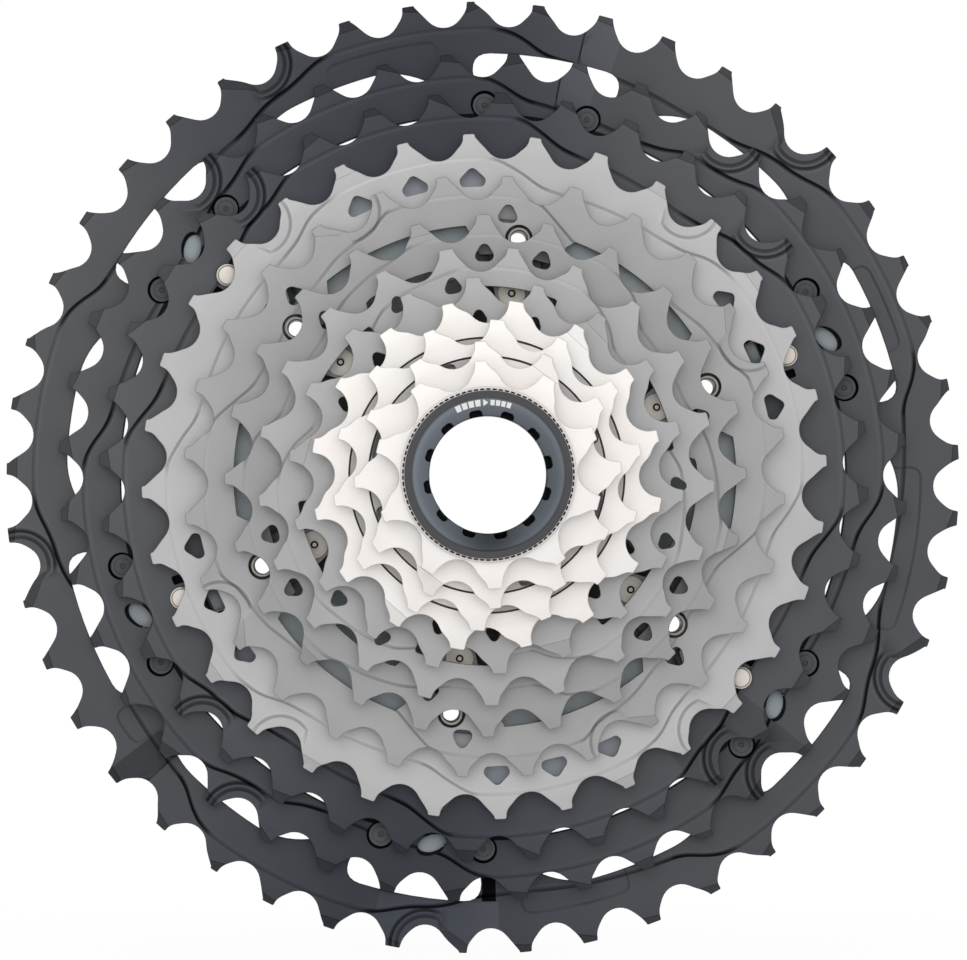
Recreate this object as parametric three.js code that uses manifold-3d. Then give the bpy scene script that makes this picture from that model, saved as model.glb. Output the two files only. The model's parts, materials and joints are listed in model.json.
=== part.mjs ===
// Twelve-speed bicycle cassette, millimetres.
//
// The stack is drawn lying flat: the spin axis is local Z and the small sprockets are on top. The last lines
// stand it up, so in the finished part the spin axis is Y, the small sprockets face -Y and +Z is up.
// Angles are degrees, counter-clockwise from +X as seen from the small-sprocket side.
import * as THREE from "three";
import { mergeVertices } from "three/addons/utils/BufferGeometryUtils.js";
import Module from "manifold-3d";

const wasm = await Module();
wasm.setup();

// ---------------------------------------------------------------- driving dimensions
const CHAIN_PITCH = 12.7;
const ROLLER_SEAT_RADIUS = 3.93; // a chain roller sits in this arc, centred on the pitch circle
const SEAT_ARC = 54; // the seat reaches this many degrees to each side of its lowest point
const SEAT_STEPS = 2;
const TOOTH_TIP_WIDTH = 2.6;
const PLATE_SPACING = 3.6; // axial distance from one sprocket to the next
const THIN_PLATE = 1.6; // steel and titanium plates
const THICK_PLATE = 2.0; // aluminium plates
const GAP = 0.1; // clearance between stacked faces
const HOLE_CLEARANCE = 0.15; // radial clearance round a rivet

const ARM_COUNT = 6;
const FIRST_ARM = 21.9; // angle of the first spider arm
const ARM_WIDTH = 8.5;
const ARM_PAD_HALF_ANGLE = 11.5; // the widened end under the two large plates
const ARM_PAD_RADIUS = 75.4;
const ARM_PAD_INNER_RADIUS = 67.2;

const SPLINE_COUNT = 23;
const SPLINE_ROOT_RADIUS = 16.6; // bore radius between the splines
const SPLINE_TIP_RADIUS = 15.7;
const SPLINE_SHARE = 0.36; // share of each pitch that a spline takes
const HUB_RADIUS = 18.9;
const HUB_BORE = 17.3; // the splined ring is let into the hubs from here inwards
const HUB_BACK = -2.0; // face that presses on the freehub's shoulder

const CENTRE_RIVET_RADIUS = 35.0; // radial places of the rivet rings
const TUBE_RIVET_RADIUS = 45.7;
const HIDDEN_RIVET_RADIUS = 51.7;
const PALE_RIVET_RADIUS = 62.5;
const DARK_RIVET_RADIUS = 71.5;
const DARK_RIVET_OFFSET = 8.0; // degrees to each side of the arm

const SIGHT_PLACE = 71.5; // oval holes in the second-largest sprocket, over the spider pads
const SIGHT_LENGTH = 5.9;
const SIGHT_WIDTH = 3.7;
const SIGHT_TURN = 30;

const LOCK_RING_RADIUS = 15.55;
const LOCK_RING_BORE = 10.95;
const LOCK_RING_BACK = 33.5;
const LOCK_RING_FRONT = 42.5;
const THREAD_RADIUS = 14.0;
const NOTCH_COUNT = 12;
const FIRST_NOTCH = 11.7;
const NOTCH_WIDTH = 2.4;
const NOTCH_RADIUS = 12.15;
const NOTCH_DEPTH = 7.0;
const WASHER_RADIUS = 16.3;
const WASHER_THICKNESS = 0.25;
const COLLAR_BORE = THREAD_RADIUS + 0.3; // the smallest sprocket and the washer clear the thread

const ROUND_SEGMENTS = 36;
const RIVET_SEGMENTS = 8;

// ---------------------------------------------------------------- materials
function metal(color, roughness, metalness) {
  return new THREE.MeshStandardMaterial({ color, roughness, metalness });
}
const MATERIALS = {
  alloy: () => metal(0x4b4d52, 0.55, 0.6),
  titanium: () => metal(0xa5a5a6, 0.5, 0.8),
  nickel: () => metal(0xeae6e2, 0.35, 0.7),
  slate: () => metal(0x6a7378, 0.6, 0.6),
  black: () => metal(0x1d1d1f, 0.6, 0.4),
  lockRing: () => metal(0x46484c, 0.45, 0.6),
  rivetSteel: () => metal(0xc8c0b6, 0.35, 0.9),
};

// ---------------------------------------------------------------- plane geometry
function polar(radius, degrees) {
  const angle = THREE.MathUtils.degToRad(degrees);
  return new THREE.Vector2(radius * Math.cos(angle), radius * Math.sin(angle));
}

function circlePoints(centre, radius, segments) {
  return Array.from({ length: segments }, (_, i) => polar(radius, (360 * i) / segments).add(centre));
}

function arcPoints(radius, from, to, steps) {
  return Array.from({ length: steps + 1 }, (_, i) => polar(radius, from + ((to - from) * i) / steps));
}

// Outline of a sprocket: in each valley an arc seats the chain roller, and each tooth ends in a short flat tip.
// The tip sits lean millimetres counter-clockwise of the tooth's middle.
function toothedOutline({ teeth, phase, tipRadius, lean }) {
  const pitchAngle = 360 / teeth;
  const pitchRadius = CHAIN_PITCH / 2 / Math.sin(Math.PI / teeth);
  const halfTip = THREE.MathUtils.radToDeg(TOOTH_TIP_WIDTH / 2 / tipRadius);
  const tipShift = THREE.MathUtils.radToDeg(lean / tipRadius);
  const points = [];
  for (let tooth = 0; tooth < teeth; tooth++) {
    const middle = phase + tooth * pitchAngle;
    const tip = middle + tipShift;
    points.push(polar(tipRadius, tip - halfTip), polar(tipRadius, tip + halfTip));
    const valley = middle + pitchAngle / 2;
    const seat = polar(pitchRadius, valley);
    for (let step = 0; step <= SEAT_STEPS; step++) {
      const swing = SEAT_ARC * ((2 * step) / SEAT_STEPS - 1);
      points.push(seat.clone().add(polar(ROLLER_SEAT_RADIUS, valley + 180 - swing)));
    }
  }
  return points;
}

// Inner edge that runs at one radius and changes to another in the sectors given as [from, to, radius].
function steppedEdge(radius, sectors) {
  const points = [];
  sectors.forEach(([from, to, sectorRadius], i) => {
    const next = i + 1 < sectors.length ? sectors[i + 1][0] : sectors[0][0] + 360;
    points.push(...arcPoints(sectorRadius, from, to, stepsFor(to - from)));
    if (next > to + 1e-6) points.push(...arcPoints(radius, to, next, stepsFor(next - to)));
  });
  return points;
}

function stepsFor(degrees) {
  return Math.max(1, Math.round(degrees / 12));
}

// Curved slot between two radii, with its outer corners pulled in.
function curvedSlot(from, to, inner, outer, taper) {
  return [
    ...arcPoints(outer, from + taper, to - taper, 4),
    polar((inner + outer) / 2, to),
    ...arcPoints(inner, to - taper / 2, from + taper / 2, 3),
    polar((inner + outer) / 2, from),
  ];
}

// House-shaped relief hole: flat towards the axis, pointed towards the tooth.
function houseHole(degrees, radius, size) {
  return [
    [size, 0.3 * size],
    [-0.35 * size, size],
    [-0.75 * size, 0.7 * size],
    [-0.75 * size, -0.7 * size],
    [-0.35 * size, -size],
    [size, -0.3 * size],
  ].map(([out, across]) => polar(radius + out, degrees).add(polar(across, degrees + 90)));
}

function splinedBore() {
  const pitch = 360 / SPLINE_COUNT;
  const half = (SPLINE_SHARE * pitch) / 2;
  const points = [];
  for (let i = 0; i < SPLINE_COUNT; i++) {
    const middle = i * pitch;
    points.push(polar(SPLINE_TIP_RADIUS, middle - half), polar(SPLINE_TIP_RADIUS, middle + half));
    points.push(polar(SPLINE_ROOT_RADIUS, middle + half), polar(SPLINE_ROOT_RADIUS, middle + pitch - half));
  }
  return points;
}

function perArm(make) {
  return Array.from({ length: ARM_COUNT }, (_, i) => make(FIRST_ARM + (360 / ARM_COUNT) * i, i));
}

// ---------------------------------------------------------------- solids
function plate(outline, holes, back, front) {
  const shape = new THREE.Shape(outline);
  shape.holes = holes.map((points) => new THREE.Path(points));
  const geometry = new THREE.ExtrudeGeometry(shape, { depth: front - back, bevelEnabled: false });
  return geometry.translate(0, 0, back);
}

// Solid of revolution about the Z axis from a closed profile of [radius, height] pairs.
function turned(profile, segments) {
  const closed = profile[0][0] > 0 ? [...profile, profile[0]] : profile;
  const points = closed.map(([radius, height]) => new THREE.Vector2(radius, height));
  return new THREE.LatheGeometry(points, segments).rotateX(Math.PI / 2);
}

function ring(inner, outer, back, front) {
  return turned([[inner, back], [outer, back], [outer, front], [inner, front]], ROUND_SEGMENTS);
}

function solidOf(geometry) {
  const bare = geometry.clone();
  bare.deleteAttribute("normal");
  bare.deleteAttribute("uv");
  const merged = mergeVertices(bare, 1e-4);
  const triVerts = new Uint32Array(merged.index.array);
  return new wasm.Manifold(
    new wasm.Mesh({ numProp: 3, vertProperties: merged.attributes.position.array, triVerts }),
  );
}

function geometryOf(solid) {
  const { vertProperties, triVerts } = solid.getMesh();
  const geometry = new THREE.BufferGeometry();
  geometry.setAttribute("position", new THREE.BufferAttribute(vertProperties, 3));
  geometry.setIndex(new THREE.BufferAttribute(triVerts, 1));
  geometry.computeVertexNormals();
  return geometry;
}

function joined(geometries) {
  return geometries.map(solidOf).reduce((all, next) => all.add(next));
}

// ---------------------------------------------------------------- sprockets
const stackHeight = (place) => place * PLATE_SPACING;
const backOf = (place, thickness) => stackHeight(place) - thickness / 2;
const frontOf = (place, thickness) => stackHeight(place) + thickness / 2;
const rivetHole = (degrees, radius, shank) =>
  circlePoints(polar(radius, degrees), shank + HOLE_CLEARANCE, RIVET_SEGMENTS);
const CENTRE_SHANK = 1.5;
const TUBE_SHANK = 2.4;
const HIDDEN_SHANK = 1.2;
const PALE_SHANK = 1.5;
const DARK_SHANK = 2.3;
const RIVET_HEAD = 2.6;
const HEAD_HEIGHT = 0.5;
const PALE_RIVET_BACK = 1.5; // heights at which the shanks end inside the spider
const HIDDEN_RIVET_BACK = 4.5;
const TUBE_RIVET_BACK = 6.5;
const TUBE_BORE = 1.75;

// Teeth for which a relief hole is cut, as every tooth under a repeating pattern.
function holesUnderTeeth(sprocket, teethWithHole, radius, size) {
  return teethWithHole.map((tooth) =>
    houseHole(sprocket.phase + (tooth * 360) / sprocket.teeth, radius, size),
  );
}

const SPROCKET_45 = { teeth: 45, phase: 2.9, tipRadius: 92.2, lean: 0.35 };
const SPROCKET_40 = { teeth: 40, phase: 4.7, tipRadius: 82.0, lean: 0.35 };
const SPROCKET_36 = { teeth: 36, phase: 7.2, tipRadius: 74.0, lean: 0.35 };
const SPROCKET_32 = { teeth: 32, phase: 2.35, tipRadius: 65.7, lean: 0.35 };
const SPROCKET_28 = { teeth: 28, phase: 7.9, tipRadius: 57.8, lean: 0.35 };
const SPROCKET_24 = { teeth: 24, phase: 0.3, tipRadius: 49.7, lean: 0.2 };
const SPROCKET_21 = { teeth: 21, phase: 14.2, tipRadius: 43.6, lean: 0.2 };
const SPROCKET_18 = { teeth: 18, phase: 12.7, tipRadius: 37.5, lean: 1.0 };
const SPROCKET_16 = { teeth: 16, phase: 11.0, tipRadius: 33.4, lean: 1.2 };
const SPROCKET_14 = { teeth: 14, phase: 7.5, tipRadius: 29.2, lean: 1.0 };
const SPROCKET_12 = { teeth: 12, phase: 0.6, tipRadius: 25.1, lean: 1.1 };
const SPROCKET_10 = { teeth: 10, phase: 19.6, tipRadius: 21.3, lean: 0.8 };

const darkRivetAngles = perArm((arm) => [arm - DARK_RIVET_OFFSET, arm + DARK_RIVET_OFFSET]).flat();

function armSectors(halfAngle, radius) {
  return perArm((arm) => [arm - halfAngle, arm + halfAngle, radius]);
}

function sprocket45() {
  const overArms = perArm((arm) => curvedSlot(arm - 11, arm + 9.5, 75.2, 81.9, 3));
  const betweenArms = perArm((arm) => curvedSlot(arm + 15, arm + 44, 73.6, 80.1, 6));
  const rivets = darkRivetAngles.map((angle) => rivetHole(angle, DARK_RIVET_RADIUS, DARK_SHANK));
  const bore = steppedEdge(70.2, armSectors(12, 67.0));
  const back = backOf(0, THICK_PLATE);
  const holes = [bore, ...overArms, ...betweenArms, ...rivets];
  return plate(toothedOutline(SPROCKET_45), holes, back, back + THICK_PLATE);
}

// Oval hole over each spider pad, turned a little from the tangent.
function sightHole(arm) {
  const along = polar(SIGHT_LENGTH / 2, arm + 90 + SIGHT_TURN);
  const across = polar(SIGHT_WIDTH / 2, arm + SIGHT_TURN);
  const middle = polar(SIGHT_PLACE, arm);
  return circlePoints(new THREE.Vector2(0, 0), 1, 12).map(({ x, y }) =>
    middle.clone().addScaledVector(along, x).addScaledVector(across, y),
  );
}

function sprocket40() {
  const rivets = darkRivetAngles.map((angle) => rivetHole(angle, DARK_RIVET_RADIUS, DARK_SHANK));
  const bore = steppedEdge(69.9, armSectors(12, 66.9));
  const back = backOf(1, THICK_PLATE);
  return plate(toothedOutline(SPROCKET_40), [bore, ...rivets, ...perArm(sightHole)], back, back + THICK_PLATE);
}

function sprocket36() {
  const rivets = perArm((arm) => rivetHole(arm, PALE_RIVET_RADIUS, PALE_SHANK));
  const notched = perArm((arm) => [
    [arm - 4.9, arm - 3.9, 59.2],
    [arm - 3.9, arm - 2.6, 62.8],
    [arm - 2.6, arm + 2.6, 59.0],
    [arm + 2.6, arm + 3.9, 62.8],
    [arm + 3.9, arm + 4.9, 59.2],
  ]).flat();
  const bore = steppedEdge(54.6, notched);
  const back = backOf(2, THICK_PLATE);
  return plate(toothedOutline(SPROCKET_36), [bore, ...rivets], back, back + THICK_PLATE);
}

function sprocket32() {
  const rivets = perArm((arm) => rivetHole(arm, HIDDEN_RIVET_RADIUS, HIDDEN_SHANK));
  const underTeeth = [1, 2, 3, 8, 9, 10, 17, 18, 19, 24, 25, 26];
  const relief = holesUnderTeeth(SPROCKET_32, underTeeth, 57.3, 2.1);
  const bore = steppedEdge(52.4, armSectors(4.5, 49.9));
  const back = backOf(3, THIN_PLATE);
  return plate(toothedOutline(SPROCKET_32), [bore, ...rivets, ...relief], back, back + THIN_PLATE);
}

function sprocket28() {
  const rivets = perArm((arm) => rivetHole(arm, TUBE_RIVET_RADIUS, TUBE_SHANK));
  const relief = holesUnderTeeth(SPROCKET_28, [6, 10, 20, 24], 50.0, 1.5);
  const bore = steppedEdge(47.8, armSectors(10.5, 41.6));
  const back = backOf(4, THIN_PLATE);
  return plate(toothedOutline(SPROCKET_28), [bore, ...rivets, ...relief], back, back + THIN_PLATE);
}

function sprocket24() {
  const rivets = perArm((arm) => rivetHole(arm, CENTRE_RIVET_RADIUS, CENTRE_SHANK));
  const relief = holesUnderTeeth(SPROCKET_24, [1, 5, 6, 9, 13, 14, 17, 21, 22], 42.3, 1.4);
  const cutBacks = [0, 120, 240].map((turn) => [104 + turn, 125 + turn, 40.1]);
  const tabs = armSectors(5.2, 31.9);
  const bore = steppedEdge(37.6, [...tabs, ...cutBacks].sort((a, b) => a[0] - b[0]));
  const back = backOf(5, THIN_PLATE);
  return plate(toothedOutline(SPROCKET_24), [bore, ...rivets, ...relief], back, back + THIN_PLATE);
}

function sprocket21() {
  const windows = perArm((arm) => curvedSlot(arm - 14, arm + 14, 28.0, 35.85, 2));
  const relief = holesUnderTeeth(SPROCKET_21, [5, 6, 12, 13, 19, 20], 36.2, 1.4);
  const bore = circlePoints(polar(0, 0), HUB_RADIUS + GAP, ROUND_SEGMENTS);
  const back = backOf(6, THIN_PLATE);
  return plate(toothedOutline(SPROCKET_21), [bore, ...windows, ...relief], back, back + THIN_PLATE);
}

function sprocket18() {
  const underTeeth = [0, 1, 3, 4, 6, 7, 9, 10, 12, 13, 15, 16];
  const relief = holesUnderTeeth(SPROCKET_18, underTeeth, 29.9, 1.5);
  const bore = circlePoints(polar(0, 0), HUB_RADIUS + GAP, ROUND_SEGMENTS);
  const back = backOf(7, THIN_PLATE);
  return plate(toothedOutline(SPROCKET_18), [bore, ...relief], back, back + THIN_PLATE);
}

function looseSprocket(sprocket, place, windows) {
  const back = backOf(place, THIN_PLATE);
  return plate(toothedOutline(sprocket), [splinedBore(), ...windows], back, back + THIN_PLATE);
}

// Eight windows in the web of the 14-tooth sprocket.
function webWindows() {
  return Array.from({ length: 8 }, (_, i) => {
    const middle = 27 + 45 * i;
    return curvedSlot(middle - 11, middle + 11, 19.4, 22.2, 2);
  });
}

// The smallest sprocket carries its own spacer collar at the back.
function sprocket10() {
  const back = backOf(11, THIN_PLATE);
  const collarBack = frontOf(10, THIN_PLATE) + GAP;
  const disc = plate(
    toothedOutline(SPROCKET_10),
    [circlePoints(polar(0, 0), COLLAR_BORE, ROUND_SEGMENTS)],
    back,
    back + THIN_PLATE,
  );
  const collar = ring(COLLAR_BORE, SPLINE_TIP_RADIUS, collarBack, back + THIN_PLATE / 2);
  return geometryOf(joined([disc, collar]));
}

// ---------------------------------------------------------------- spider, carrier, spacers
// Spider arm seen from the side, as [radius, height]: each step carries one plate.
const restHeight = (place, thickness) => backOf(place, thickness) - GAP;
const ARM_SIDE = [
  [17.5, 1.5],
  [40, 6],
  [48, 3.5],
  [64, 1.1],
  [75, 1.1],
  [75, restHeight(1, THICK_PLATE)],
  [66.5, restHeight(1, THICK_PLATE)],
  [65.8, restHeight(2, THICK_PLATE)],
  [58.6, restHeight(2, THICK_PLATE)],
  [57.6, restHeight(3, THIN_PLATE)],
  [49.6, restHeight(3, THIN_PLATE)],
  [49.0, restHeight(4, THIN_PLATE)],
  [41.0, restHeight(4, THIN_PLATE)],
  [24, 11.5],
  [17.5, 11.5],
];

function spiderArm(degrees) {
  const side = new THREE.Shape(ARM_SIDE.map(([radius, height]) => new THREE.Vector2(radius, height)));
  const arm = new THREE.ExtrudeGeometry(side, { depth: ARM_WIDTH, bevelEnabled: false });
  arm.translate(0, 0, -ARM_WIDTH / 2).rotateX(Math.PI / 2);
  return arm.rotateZ(THREE.MathUtils.degToRad(degrees));
}

function spiderPad(degrees) {
  const from = degrees - ARM_PAD_HALF_ANGLE;
  const to = degrees + ARM_PAD_HALF_ANGLE;
  const outline = [
    ...arcPoints(ARM_PAD_RADIUS, from, to, 4),
    ...arcPoints(ARM_PAD_INNER_RADIUS, to, from, 4),
  ];
  return plate(outline, [], frontOf(0, THICK_PLATE) + GAP, restHeight(1, THICK_PLATE));
}

const CUT_HEIGHTS = [-5, 30]; // well past the spider and the carrier on both sides

function rivetCutter(degrees, radius, shank) {
  return plate(circlePoints(polar(radius, degrees), shank, RIVET_SEGMENTS), [], ...CUT_HEIGHTS);
}

const HUB_FRONT = 15.9;
const DISH_RADIUS = 49.0;
const DISH_FRONT = restHeight(4, THIN_PLATE) - 1.2;

function mainSpider() {
  const hub = turned(
    [
      [HUB_BORE, HUB_BACK],
      [21.5, HUB_BACK],
      [21.5, 3],
      [HUB_RADIUS, 5],
      [HUB_RADIUS, HUB_FRONT],
      [HUB_BORE, HUB_FRONT],
    ],
    ROUND_SEGMENTS,
  );
  const bore = plate(
    circlePoints(polar(0, 0), HUB_BORE + 0.3, ROUND_SEGMENTS),
    [splinedBore()],
    HUB_BACK,
    HUB_FRONT,
  );
  const dish = turned(
    [
      [18, 6.5],
      [40, 9.5],
      [DISH_RADIUS, 9.5],
      [DISH_RADIUS, DISH_FRONT],
      [40, DISH_FRONT],
      [18, 9.5],
    ],
    ROUND_SEGMENTS,
  );
  let body = joined([hub, bore, dish, ...perArm(spiderArm), ...perArm(spiderPad)]);
  const cuts = [
    ...perArm((arm) => rivetCutter(arm, TUBE_RIVET_RADIUS, TUBE_SHANK + HOLE_CLEARANCE)),
    ...perArm((arm) => rivetCutter(arm, HIDDEN_RIVET_RADIUS, HIDDEN_SHANK + HOLE_CLEARANCE)),
    ...perArm((arm) => rivetCutter(arm, PALE_RIVET_RADIUS, PALE_SHANK + HOLE_CLEARANCE)),
    ...darkRivetAngles.map((angle) =>
      rivetCutter(angle, DARK_RIVET_RADIUS, DARK_SHANK + HOLE_CLEARANCE),
    ),
  ];
  for (const cut of cuts) body = body.subtract(solidOf(cut));
  return geometryOf(body);
}

const CARRIER_BACK = HUB_FRONT + GAP;
const CARRIER_FRONT = frontOf(7, THIN_PLATE);
const CARRIER_FLANGE_RADIUS = 27;
const CARRIER_ARM_RADIUS = 37.2;
const CARRIER_ARM_BACK = CARRIER_BACK - 0.9;

function smallCarrier() {
  const hub = turned(
    [
      [HUB_BORE, CARRIER_BACK],
      [CARRIER_FLANGE_RADIUS, CARRIER_BACK],
      [CARRIER_FLANGE_RADIUS, frontOf(5, THIN_PLATE) + 0.4],
      [22, backOf(6, THIN_PLATE) - GAP],
      [HUB_RADIUS, backOf(6, THIN_PLATE) - GAP],
      [HUB_RADIUS, CARRIER_FRONT],
      [HUB_BORE, CARRIER_FRONT],
    ],
    ROUND_SEGMENTS,
  );
  const bore = plate(
    circlePoints(polar(0, 0), HUB_BORE + 0.3, ROUND_SEGMENTS),
    [splinedBore()],
    CARRIER_BACK,
    CARRIER_FRONT,
  );
  const seat = backOf(5, THIN_PLATE) - GAP;
  const arms = perArm((arm) =>
    plate(
      [...arcPoints(CARRIER_ARM_RADIUS, arm - 9, arm + 9, 3), ...arcPoints(24, arm + 12, arm - 12, 3)],
      [],
      CARRIER_ARM_BACK,
      seat,
    ),
  );
  let body = joined([hub, bore, ...arms]);
  for (const cut of perArm((arm) => rivetCutter(arm, CENTRE_RIVET_RADIUS, CENTRE_SHANK + HOLE_CLEARANCE)))
    body = body.subtract(solidOf(cut));
  return geometryOf(body);
}

function spacer(behind, inFront, outer) {
  return ring(
    SPLINE_ROOT_RADIUS + 0.2,
    outer,
    frontOf(behind, THIN_PLATE) + GAP,
    backOf(inFront, THIN_PLATE) - GAP,
  );
}

// ---------------------------------------------------------------- lock ring
const FLANGE_FACE_RADIUS = 14.0; // the flat face runs in to here, then a cone leads down to the notches
const WASHER_BACK = frontOf(11, THIN_PLATE) + GAP;
const FLANGE_BACK = WASHER_BACK + WASHER_THICKNESS + GAP;

function lockRing() {
  const body = turned(
    [
      [LOCK_RING_BORE, LOCK_RING_BACK],
      [THREAD_RADIUS - 0.5, LOCK_RING_BACK],
      [THREAD_RADIUS, LOCK_RING_BACK + 0.5],
      [THREAD_RADIUS, FLANGE_BACK],
      [LOCK_RING_RADIUS, FLANGE_BACK],
      [LOCK_RING_RADIUS, LOCK_RING_FRONT - 0.3],
      [LOCK_RING_RADIUS - 0.3, LOCK_RING_FRONT],
      [FLANGE_FACE_RADIUS, LOCK_RING_FRONT],
      [NOTCH_RADIUS, LOCK_RING_FRONT - 2.2],
      [LOCK_RING_BORE, LOCK_RING_FRONT - 2.4],
    ],
    ROUND_SEGMENTS,
  );
  let solid = solidOf(body);
  for (let i = 0; i < NOTCH_COUNT; i++) {
    const notch = new THREE.BoxGeometry(4, NOTCH_WIDTH, 2 * NOTCH_DEPTH);
    notch.translate(NOTCH_RADIUS - 2, 0, LOCK_RING_FRONT);
    notch.rotateZ(THREE.MathUtils.degToRad(FIRST_NOTCH + (360 / NOTCH_COUNT) * i));
    solid = solid.subtract(solidOf(notch));
  }
  return geometryOf(solid);
}

function lockRingWasher() {
  return ring(COLLAR_BORE, WASHER_RADIUS, WASHER_BACK, WASHER_BACK + WASHER_THICKNESS);
}

// ---------------------------------------------------------------- rivets
function headedRivet(shank, back, seat) {
  return turned(
    [
      [0, back],
      [shank, back],
      [shank, seat],
      [RIVET_HEAD, seat],
      [RIVET_HEAD, seat + HEAD_HEIGHT],
      [0, seat + HEAD_HEIGHT],
    ],
    RIVET_SEGMENTS,
  );
}

function flushRivet(shank, back, front) {
  return turned([[0, back], [shank, back], [shank, front], [0, front]], RIVET_SEGMENTS);
}

function tubeRivet(back, front) {
  const profile = [[TUBE_BORE, back], [TUBE_SHANK, back], [TUBE_SHANK, front], [TUBE_BORE, front]];
  return turned(profile, RIVET_SEGMENTS);
}

// ---------------------------------------------------------------- assembly
const stack = new THREE.Group();

function addMesh(name, geometry, material, place = new THREE.Vector2(0, 0)) {
  const mesh = new THREE.Mesh(geometry, MATERIALS[material]());
  mesh.name = name;
  mesh.position.set(place.x, place.y, 0);
  stack.add(mesh);
}

addMesh("sprocket_45t", sprocket45(), "alloy");
addMesh("sprocket_40t", sprocket40(), "alloy");
addMesh("sprocket_36t", sprocket36(), "alloy");
addMesh("sprocket_32t", sprocket32(), "titanium");
addMesh("sprocket_28t", sprocket28(), "titanium");
addMesh("sprocket_24t", sprocket24(), "titanium");
addMesh("sprocket_21t", sprocket21(), "titanium");
addMesh("sprocket_18t", sprocket18(), "titanium");
addMesh("sprocket_16t", looseSprocket(SPROCKET_16, 8, []), "nickel");
addMesh("sprocket_14t", looseSprocket(SPROCKET_14, 9, webWindows()), "nickel");
addMesh("sprocket_12t", looseSprocket(SPROCKET_12, 10, []), "nickel");
addMesh("sprocket_10t", sprocket10(), "nickel");
addMesh("main_spider", mainSpider(), "slate");
addMesh("small_carrier", smallCarrier(), "black");
addMesh("spacer_18t_16t", spacer(7, 8, 24.0), "nickel");
addMesh("spacer_16t_14t", spacer(8, 9, 21.5), "nickel");
addMesh("spacer_14t_12t", spacer(9, 10, 18.6), "nickel");
addMesh("lock_ring_washer", lockRingWasher(), "nickel");
addMesh("lock_ring", lockRing(), "lockRing");

perArm((arm, i) => {
  const front24 = frontOf(5, THIN_PLATE) + GAP;
  const front36 = frontOf(2, THICK_PLATE) + GAP;
  addMesh(
    `carrier_rivet_${i + 1}`,
    headedRivet(CENTRE_SHANK, CARRIER_ARM_BACK, front24),
    "rivetSteel",
    polar(CENTRE_RIVET_RADIUS, arm),
  );
  addMesh(
    `tube_rivet_28t_${i + 1}`,
    tubeRivet(TUBE_RIVET_BACK, frontOf(4, THIN_PLATE)),
    "rivetSteel",
    polar(TUBE_RIVET_RADIUS, arm),
  );
  addMesh(
    `rivet_32t_${i + 1}`,
    flushRivet(HIDDEN_SHANK, HIDDEN_RIVET_BACK, frontOf(3, THIN_PLATE)),
    "rivetSteel",
    polar(HIDDEN_RIVET_RADIUS, arm),
  );
  addMesh(
    `rivet_36t_${i + 1}`,
    headedRivet(PALE_SHANK, PALE_RIVET_BACK, front36),
    "rivetSteel",
    polar(PALE_RIVET_RADIUS, arm),
  );
});
darkRivetAngles.forEach((angle, i) => {
  addMesh(
    `rivet_40t_45t_${i + 1}`,
    flushRivet(DARK_SHANK, backOf(0, THICK_PLATE), frontOf(1, THICK_PLATE)),
    "black",
    polar(DARK_RIVET_RADIUS, angle),
  );
});

// The origin is the middle of the part on its spin axis.
stack.position.y = (HUB_BACK + LOCK_RING_FRONT) / 2;
stack.rotation.x = Math.PI / 2;

const cassette = new THREE.Group();
cassette.add(stack);

export default cassette;
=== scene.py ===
import json
import math

import bpy
import numpy as np
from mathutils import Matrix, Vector
from mathutils.geometry import delaunay_2d_cdt
from mathutils.kdtree import KDTree


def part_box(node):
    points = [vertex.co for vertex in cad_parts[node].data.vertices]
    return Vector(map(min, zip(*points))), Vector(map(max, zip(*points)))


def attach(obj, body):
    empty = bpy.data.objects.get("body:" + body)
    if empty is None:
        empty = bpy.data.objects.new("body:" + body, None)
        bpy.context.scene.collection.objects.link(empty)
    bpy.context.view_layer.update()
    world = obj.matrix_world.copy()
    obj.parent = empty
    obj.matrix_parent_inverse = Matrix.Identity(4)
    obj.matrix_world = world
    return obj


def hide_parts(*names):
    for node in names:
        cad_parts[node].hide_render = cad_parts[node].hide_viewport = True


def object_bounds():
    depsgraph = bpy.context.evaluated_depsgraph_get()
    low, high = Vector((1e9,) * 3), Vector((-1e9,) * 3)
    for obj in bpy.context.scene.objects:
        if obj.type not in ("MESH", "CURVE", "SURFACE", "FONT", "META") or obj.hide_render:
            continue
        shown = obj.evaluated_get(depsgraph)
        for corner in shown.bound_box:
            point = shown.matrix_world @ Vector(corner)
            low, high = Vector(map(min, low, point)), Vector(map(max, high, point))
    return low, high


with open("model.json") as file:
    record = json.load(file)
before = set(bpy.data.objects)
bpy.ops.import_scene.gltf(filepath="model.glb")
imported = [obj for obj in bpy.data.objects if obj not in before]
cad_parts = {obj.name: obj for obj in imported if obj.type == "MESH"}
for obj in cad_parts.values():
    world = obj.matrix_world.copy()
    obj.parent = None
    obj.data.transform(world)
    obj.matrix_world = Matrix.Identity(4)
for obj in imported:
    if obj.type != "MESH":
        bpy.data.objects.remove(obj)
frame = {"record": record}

# Plans are drawn looking at the small-sprocket side: u runs right (+X), v runs up (+Z), and height runs
# towards the viewer (-Y). Plans are in millimetres and angles in degrees, counter-clockwise from +X.
CAD_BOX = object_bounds()
MM = 0.001

# Teeth: the roller seats are round up to SEAT_REACH degrees on either side, and teeth thin from TAPER_START.
CHAIN_PITCH = 12.7
SEAT_RADIUS = 3.93
SEAT_REACH = 48
SEAT_POINTS = 9
FLANK_POINTS = 5
TAPER_START = 1.4
BACK_TAPER = 0.3
EDGE_BEVEL = 0.13

# Splined bore of the hub and of the loose sprockets.
SPLINES = 23
SPLINE_ROOT = 16.6
SPLINE_TIP = 15.7
SPLINE_SHARE = 0.36
HUB_RADIUS = 19.0

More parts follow.
